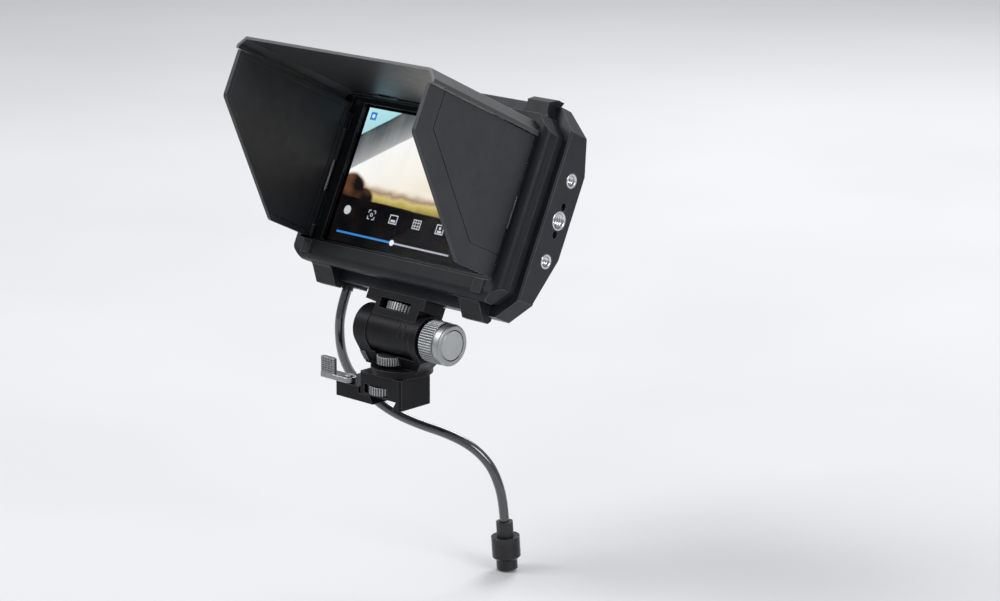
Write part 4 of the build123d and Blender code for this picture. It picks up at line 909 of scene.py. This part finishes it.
@dataclass
class Screen:
    """The lit picture behind the cover glass, with a row of plain icons and a slider.

    Attributes:
        width_mm: Width of the lit area.
        height_mm: Height of the lit area.
        y_mm: Depth of the picture's plane in the upright monitor's frame.
        icons_z_mm: Height of the row of icons.
        slider_mm: Lower and upper edge of the slider's bar.
        cloud_slope: Slope of the cloud bank.
        sky_mm: Reach of the sky's colours, across the bank's slope.
        meadow_mm: Reach of the meadow's colours.
        horizon_mm: Heights between which the meadow gives way to the sky.
        ground_mm: Heights between which the ground gives way to the meadow.
        crowns_mm: Middle and half sizes of the tree's crowns.
    """

    width_mm: float = 129.2
    height_mm: float = 80.8
    y_mm: float = 11.13
    icons_z_mm: float = -21.3
    slider_mm: tuple[float, float] = (-35.2, -34.2)
    cloud_slope: float = 0.63
    sky_mm: float = 80.0
    meadow_mm: tuple[float, float] = (-16.0, -3.0)
    horizon_mm: tuple[float, float] = (-6.0, -2.0)
    ground_mm: tuple[float, float] = (-15.0, -14.2)
    crowns_mm: Sequence[tuple[tuple[float, float], tuple[float, float]]] = (
        ((-60.0, -8.0), (11.0, 9.0)),
        ((-49.0, -13.5), (9.0, 7.0)),
    )

    def build(self) -> None:
        """Builds the picture and its marks."""
        across = np.linspace(-self.width_mm / 2, self.width_mm / 2, 33)
        up = np.linspace(-self.height_mm / 2, self.height_mm / 2, 21)
        x, z = np.meshgrid(across, up)
        points = np.stack([x, np.full_like(x, self.y_mm), z], axis=-1)
        picture = lattice_object("screen_picture", lean(points), wrap=False)
        share = np.stack([x / self.width_mm, z / self.height_mm], axis=-1).reshape(-1, 2) + 0.5
        corners = np.empty(len(picture.data.loops), np.int32)
        picture.data.loops.foreach_get("vertex_index", corners)
        layer = picture.data.uv_layers.new(name="UVMap")
        layer.data.foreach_set("uv", share[corners].astype(np.float32).ravel())
        picture.data.materials.append(self.scene())
        own(picture, Body.MONITOR, Slot.PANEL)
        self.icons()

    def icons(self) -> None:
        """Builds the generic icons and the slider, a little in front of the picture."""
        z = self.icons_z_mm
        white = Marks("screen_icons", ICON_WHITE, self.y_mm - MARK_GAP_MM)
        white.disc(-56.5, z, 2.7)
        self.focus_icon(white, -36.8, z)
        white.frame(-19.1, z, 6.4, 5.4, 0.6)
        white.bar(-20.9, z - 1.6, -17.3, z - 0.2)
        self.grid_icon(white, -0.5, z)
        white.frame(17.7, z, 6.0, 5.8, 0.6)
        white.disc(17.7, z + 0.7, 0.9)
        white.bar(16.1, z - 2.0, 19.3, z - 0.7)
        # Two short lines beside the small badge in the upper corner.
        white.bar(-54.6, 37.0, -51.0, 37.5)
        white.bar(-54.6, 34.6, -52.0, 35.1)
        white.build()
        low, top = self.slider_mm
        rest = Marks("screen_slider_rest", SLIDER_GREY, self.y_mm - MARK_GAP_MM)
        rest.bar(-14.2, low, 30.0, top)
        rest.build()
        run = Marks("screen_slider_run", SLIDER_BLUE, self.y_mm - MARK_GAP_MM)
        run.bar(-59.7, low, -15.0, top + 0.2)
        run.bar(-61.9, 33.3, -57.1, 38.1)
        run.build()
        knob = Marks("screen_slider_knob", SLIDER_KNOB, self.y_mm - KNOB_GAP_MM)
        knob.disc(-14.8, -34.6, 1.75)
        knob.disc(-59.5, 35.7, 1.25, corners=6)
        knob.build()

    @staticmethod
    def focus_icon(marks: Marks, x: float, z: float) -> None:
        """Adds a focus frame: four corners round a small ring.

        Args:
            marks: The marks that it belongs to.
            x: Middle across.
            z: Middle up.
        """
        reach, arm, half_line = 2.6, 1.7, 0.25
        for side in (-1, 1):
            for end in (-1, 1):
                across, up = x + side * reach, z + end * reach
                inner, inside = across - side * arm, up - end * arm
                marks.bar(min(across, inner), up - half_line, max(across, inner), up + half_line)
                marks.bar(across - half_line, min(up, inside), across + half_line, max(up, inside))
        marks.ring(x, z, 0.6, 1.1)

    @staticmethod
    def grid_icon(marks: Marks, x: float, z: float) -> None:
        """Adds a framed grid of three by three.

        Args:
            marks: The marks that it belongs to.
            x: Middle across.
            z: Middle up.
        """
        wide, high, half_line = 6.2, 5.6, 0.22
        marks.frame(x, z, wide, high, 0.55)
        for share in (-0.17, 0.17):
            across, up = x + share * wide, z + share * high
            marks.bar(across - half_line, z - high / 2, across + half_line, z + high / 2)
            marks.bar(x - wide / 2, up - half_line, x + wide / 2, up + half_line)

    def scene(self) -> bpy.types.Material:
        """The picture: an open sky over a meadow at dusk, with a cloud bank crossing on a slant.

        Everything is drawn from the place on the screen: the height less the cloud's slope times
        the place across sorts the slanted bands of the sky, and the height alone sorts the meadow
        and the dark ground. Noise breaks up each border.

        Returns:
            The material.
        """
        shader = Shader("screen_picture")
        place = shader.node("SeparateXYZ")
        shader.join(shader.uv, place.inputs[0])
        x = shader.times(shader.math("SUBTRACT", place.outputs["X"], 0.5), self.width_mm)
        z = shader.times(shader.math("SUBTRACT", place.outputs["Y"], 0.5), self.height_mm)
        soft = shader.times(shader.math("SUBTRACT", shader.noise(15.0, 5.0), 0.5), 5.0)
        rough = shader.times(shader.math("SUBTRACT", shader.noise(8.0, 1.0), 0.5), 4.5)
        slant = shader.math("SUBTRACT", z, shader.times(x, self.cloud_slope))
        bands = shader.math("ADD", slant, shader.times(soft, 0.22))
        sky = shader.ramp(shader.span(bands, 0.0, self.sky_mm), SKY_STOPS)
        streaks = shader.span(shader.noise(9.0, 4.0, (1.0, 0.25, 0.25)), 0.45, 0.62)
        sky = shader.mix(shader.times(streaks, 0.12), sky, CLOUD_STREAK)
        height = shader.math("ADD", z, rough)
        meadow = shader.ramp(shader.span(height, *self.meadow_mm), MEADOW_STOPS)
        picture = shader.mix(shader.span(height, *self.horizon_mm), meadow, sky)
        leaves = shader.span(shader.noise(13.0, 1.0), 0.35, 0.65)
        tree = shader.mix(leaves, (0.008, 0.007, 0.008), (0.15, 0.060, 0.026))
        picture = shader.mix(self.crown(shader, x, z, rough), picture, tree)
        soil = shader.span(shader.noise(11.0, 3.0), 0.45, 0.7)
        ground = shader.mix(soil, (0.003, 0.003, 0.004), (0.010, 0.007, 0.006))
        slope = shader.math("ADD", z, shader.times(x, 0.02))
        hill = shader.math("ADD", slope, shader.times(soft, 0.3))
        picture = shader.mix(shader.span(hill, *self.ground_mm), ground, picture)
        shader.glow(picture, gloss=0.35)
        shader.set(Specular_IOR_Level=0.1)
        return shader.material

    def crown(self, shader: Shader, x: Socket, z: Socket, rough: Socket) -> Socket:
        """Mask of a round-headed tree at the left, out of focus: two wide, overlapping crowns.

        Each crown is an ellipse, whose edge fades over a quarter of its half size.

        Args:
            shader: The material under construction.
            x: Place across the screen, in millimetres.
            z: Place up the screen, in millimetres.
            rough: Soft noise that breaks up its edge, in millimetres.

        Returns:
            The mask.
        """
        masks = []
        for centre, half in self.crowns_mm:
            across, up = (
                shader.math("DIVIDE", shader.math("SUBTRACT", place, middle), reach)
                for place, middle, reach in zip((x, z), centre, half)
            )
            across_2, up_2 = (shader.times(way, way) for way in (across, up))
            away = shader.math("SQRT", shader.math("ADD", across_2, up_2))
            away = shader.math("ADD", away, shader.times(rough, 0.05))
            masks.append(shader.span(away, 0.88, 1.12, 1.0, 0.0))
        return shader.math("MAXIMUM", *masks)


# Near black that is painted as shade into narrow grooves and a knurl's dips.
GROOVE_SHADE: Colour = (0.002, 0.002, 0.002)
# In the finishes below, the edge colour is a painted highlight along the edges.
BRIGHT = Finish(
    "bright_knurled_metal", (0.36, 0.38, 0.39), (0.44, 0.45, 0.46), (0.36, 0.48), metallic=1.0,
    grain_mm=0.25, depth_mm=0.006, edge=(0.80, 0.82, 0.84), edge_mm=0.2, crease_mm=1.0,
)
TURNED = Finish(
    "turned_face_metal", (0.44, 0.46, 0.47), (0.50, 0.51, 0.52), (0.36, 0.46), metallic=1.0,
    grain_mm=0.2, depth_mm=0.008, edge=(0.85, 0.86, 0.88), edge_mm=0.2, streak=Streak.ALONG_Z,
)
LEVER = Finish(
    "lever_metal", (0.26, 0.27, 0.28), (0.33, 0.34, 0.35), (0.34, 0.46), metallic=1.0,
    grain_mm=0.3, depth_mm=0.008, edge=(0.82, 0.83, 0.85), edge_mm=0.7, knurl=True,
)
STEEL = Finish(
    "plain_steel", (0.42, 0.42, 0.43), (0.52, 0.52, 0.52), (0.22, 0.34), metallic=1.0,
    grain_mm=0.2, depth_mm=0.004, edge=(0.8, 0.8, 0.8), edge_mm=0.12,
)
PLATED = Finish(
    "plated_thread", (0.66, 0.68, 0.72), (0.74, 0.75, 0.78), (0.14, 0.24), metallic=1.0,
    grain_mm=0.3, depth_mm=0.003, edge=(0.95, 0.95, 0.97), edge_mm=0.12,
)
INDEX = Finish(
    "index_grey", (0.13, 0.135, 0.15), (0.18, 0.185, 0.20), (0.34, 0.46), metallic=1.0,
    grain_mm=0.2, depth_mm=0.006, edge=(0.6, 0.6, 0.62), edge_mm=0.1, streak=Streak.ALONG_X,
)
CAGE = Finish(
    "cage_anodised", (0.016, 0.019, 0.024), (0.021, 0.024, 0.030), (0.34, 0.46), metallic=0.2,
    grain_mm=0.28, depth_mm=0.010, edge=(0.20, 0.21, 0.235), edge_mm=0.5, specular=0.34,
)
MOUNT = Finish(
    "mount_anodised", (0.006, 0.006, 0.007), (0.010, 0.010, 0.012), (0.32, 0.46), metallic=0.1,
    grain_mm=0.3, depth_mm=0.010, edge=(0.13, 0.13, 0.145), edge_mm=0.45, specular=0.14,
)
HOOD = Finish(
    "hood_satin_plastic", (0.009, 0.010, 0.012), (0.013, 0.014, 0.016), (0.36, 0.50),
    grain_mm=0.4, edge=(0.22, 0.225, 0.24), edge_mm=0.45, specular=0.2,
)
TOP_PANEL = Finish(
    "top_panel_satin_plastic", (0.011, 0.012, 0.014), (0.014, 0.015, 0.017), (0.36, 0.42),
    grain_mm=0.5, depth_mm=0.003, edge=(0.34, 0.345, 0.36), edge_mm=0.5, specular=1.0,
    crease_mm=1.2,
)
FLAP = Finish(
    "flap_satin_plastic", (0.021, 0.022, 0.026), (0.027, 0.028, 0.032), (0.42, 0.56),
    grain_mm=0.3, edge=(0.22, 0.225, 0.24), edge_mm=0.22, specular=0.42, crease_mm=0.9,
)
HOUSING = Finish(
    "housing_plastic", (0.009, 0.009, 0.011), (0.013, 0.013, 0.015), (0.46, 0.6),
    grain_mm=0.45, depth_mm=0.022, edge=(0.05, 0.05, 0.055), edge_mm=0.4, specular=0.34,
)
PLUG = Finish(
    "plug_plastic", (0.013, 0.013, 0.014), (0.018, 0.018, 0.019), (0.42, 0.56),
    depth_mm=0.02, edge=(0.05, 0.05, 0.05), edge_mm=0.4,
)
BLACK_SHELL = Finish(
    "black_plated_shell", (0.035, 0.035, 0.037), (0.05, 0.05, 0.053), (0.22, 0.34), metallic=0.8,
    grain_mm=0.3, depth_mm=0.004, edge=(0.22, 0.22, 0.23), edge_mm=0.25,
)
RUBBER = Finish(
    "gasket_foam", (0.012, 0.012, 0.012), (0.02, 0.02, 0.02), (0.7, 0.85),
    grain_mm=0.5, depth_mm=0.05,
)
WASHER = Finish(
    "slippery_washer", (0.66, 0.65, 0.61), (0.72, 0.71, 0.68), (0.3, 0.4),
    grain_mm=0.4, depth_mm=0.004,
)
GUIDE = Finish(
    "light_guide", (0.74, 0.76, 0.79), (0.78, 0.8, 0.82), (0.2, 0.3),
    grain_mm=0.6, depth_mm=0.004,
)
BOARD = Finish(
    "board_green", (0.01, 0.08, 0.04), (0.015, 0.11, 0.06), (0.25, 0.4),
    grain_mm=0.8, depth_mm=0.02, coat=0.3,
)
DARK_GLASS = Finish(
    "panel_black", (0.006, 0.006, 0.007), (0.009, 0.009, 0.010), (0.12, 0.2),
    grain_mm=0.5, depth_mm=0.002,
)

NODE_FINISHES: Sequence[tuple[Finish, Sequence[str]]] = (
    (BRIGHT, ("mounting_wheel", "swivel_wheel", "base_wheel")),
    (TURNED, ("knob_cap",)),
    (LEVER, ("clamp_lever",)),
    (STEEL, (
        "tilt_axle", "jaw_rods", "lever_pin", "left_hinge_pin", "right_hinge_pin", "top_hinge_pins",
        "cover_screws", "board_screws", "board_standoffs", "video_socket",
    )),
    (INDEX, ("index_plate", "heat_sink")),
    (CAGE, ("cage",)),
    (MOUNT, ("yoke", "clamp_base", "moving_jaw", "head_block")),
    (HOOD, ("hood_frame", "upper_hooks", "lower_hooks")),
    (TOP_PANEL, ("top_panel",)),
    (FLAP, ("left_flap", "right_flap")),
    (HOUSING, ("front_bezel", "rear_housing", "power_button")),
    (PLUG, ("cable_plug", "far_collar")),
    (BLACK_SHELL, ("far_connector",)),
    (RUBBER, ("housing_gasket",)),
    (WASHER, ("swivel_washer", "tilt_washers")),
    (GUIDE, ("backlight",)),
    (BOARD, ("mainboard",)),
    (DARK_GLASS, ("lcd_panel",)),
)


def cover_glass() -> bpy.types.Material:
    """The screen's clear cover, with a faint haze where hands have been.

    Returns:
        The material.
    """
    shader = Shader("clear_cover_glass")
    haze = shader.span(shader.noise(14.0, 4.0), 0.45, 0.75, 0.0, 0.045)
    shader.set(Base_Color=(0.97, 0.98, 1.0, 1.0), Roughness=haze, IOR=1.16, Transmission_Weight=1.0)
    return shader.material


def dress_nodes() -> None:
    """Gives each CAD node that stays in view its procedural material."""
    dressed = [(finish.build(), names) for finish, names in NODE_FINISHES]
    dressed.append((cover_glass(), ("cover_glass",)))
    for material, names in dressed:
        for name in names:
            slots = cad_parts[name].data.materials
            slots.clear()
            slots.append(material)


@dataclass(frozen=True)
class Softbox:
    """A square area light that looks at a point.

    Attributes:
        name: Name of the light.
        place: Where it stands.
        aim: What it looks at.
        size: Length of its side.
        power: Power in watts.
    """

    name: str
    place: tuple[float, float, float]
    aim: tuple[float, float, float]
    size: float
    power: float

    def build(self) -> None:
        """Adds the light."""
        data = bpy.data.lights.new(self.name, "AREA")
        data.shape = "SQUARE"
        data.size = self.size
        data.energy = self.power
        light = linked(self.name, data)
        away = np.array(self.place) - np.array(self.aim)
        heading = math.atan2(away[0], -away[1])
        pitch = math.atan2(math.hypot(away[0], away[1]), away[2])
        turn = Matrix.Rotation(heading, 4, "Z") @ Matrix.Rotation(pitch, 4, "X")
        light.matrix_world = Matrix.Translation(self.place) @ turn


@dataclass
class Studio:
    """The floor, the lights and the camera.

    Attributes:
        camera_place: Where the camera stands.
        heading_deg: Turn of the view from +Y towards -X.
        pitch_deg: How far the view looks down.
        roll_deg: Turn about the view.
        lens_mm: Focal length on a 36 mm wide sensor.
        floor_half: Half the floor's side.
        floor_gap: What is left free between the floor and the object.
        lights: The softboxes.
    """

    camera_place: tuple[float, float, float] = (1.1465, -1.15638, 0.48284)
    heading_deg: float = 42.7177
    pitch_deg: float = 14.5397
    roll_deg: float = 0.275
    lens_mm: float = 106.68
    floor_half: float = 9.0
    floor_gap: float = 0.001
    lights: Sequence[Softbox] = (
        Softbox("key_light", (-1.1, -1.3, 1.9), (0.0, 0.0, 0.08), 1.1, 42.0),
        Softbox("side_light", (1.9, -0.1, 1.0), (0.0, 0.0, 0.05), 0.9, 16.0),
        Softbox("back_light", (-0.6, 1.7, 1.5), (0.0, 0.0, 0.08), 1.0, 26.0),
    )

    def build(self) -> None:
        """Builds the studio."""
        self.floor()
        for light in self.lights:
            light.build()
        world = bpy.data.worlds.new("studio_world")
        world.use_nodes = True
        background = world.node_tree.nodes["Background"]
        background.inputs["Color"].default_value = (0.82, 0.84, 0.87, 1.0)
        background.inputs["Strength"].default_value = 0.55
        bpy.context.scene.world = world
        bpy.context.scene.view_settings.view_transform = "Standard"
        data = bpy.data.cameras.new("photo_camera")
        data.sensor_width = SENSOR_MM
        data.lens = self.lens_mm
        data.clip_start = 0.05
        data.clip_end = 40.0
        camera = linked("photo_camera", data)
        angles = (self.heading_deg, self.pitch_deg, self.roll_deg)
        heading, pitch, roll = (math.radians(angle) for angle in angles)
        turn = Matrix.Rotation(heading, 4, "Z") @ Matrix.Rotation(math.pi / 2 - pitch, 4, "X")
        turn = turn @ Matrix.Rotation(roll, 4, "Z")
        camera.matrix_world = Matrix.Translation(self.camera_place) @ turn
        bpy.context.scene.camera = camera

    def floor(self) -> None:
        """Lays the pale floor just below the object's lowest point."""
        reach = np.linspace(-self.floor_half, self.floor_half, 13)
        x, y = np.meshgrid(reach, reach)
        low = CAD_BOX[0][2] - self.floor_gap
        points = np.stack([x, y, np.full_like(x, low)], axis=-1)
        floor = lattice_object("studio_floor", points, wrap=False)
        shader = Shader("studio_floor")
        cloud = shader.noise(400.0, 2.0)
        colour = shader.mix(shader.span(cloud, 0.3, 0.7), (0.62, 0.62, 0.63), (0.66, 0.66, 0.67))
        shader.set(Base_Color=colour, Roughness=0.75)
        floor.data.materials.append(shader.material)


def main() -> None:
    """Builds the scene."""
    logging.basicConfig(level=logging.INFO, format="%(name)s %(message)s")
    Studio().build()
    VideoCord().build()
    dress_nodes()
    TiltKnob().build()
    HingeSprings().build()
    ThreadedInserts("quarter_inch_inserts", (23.9, -23.3), 2.6, 1.27, 4.4).build()
    ThreadedInserts("three_eighths_inserts", (0.5,), 3.95, 1.5875, 5.6).build()
    Screen().build()


if __name__ == "__main__":
    main()
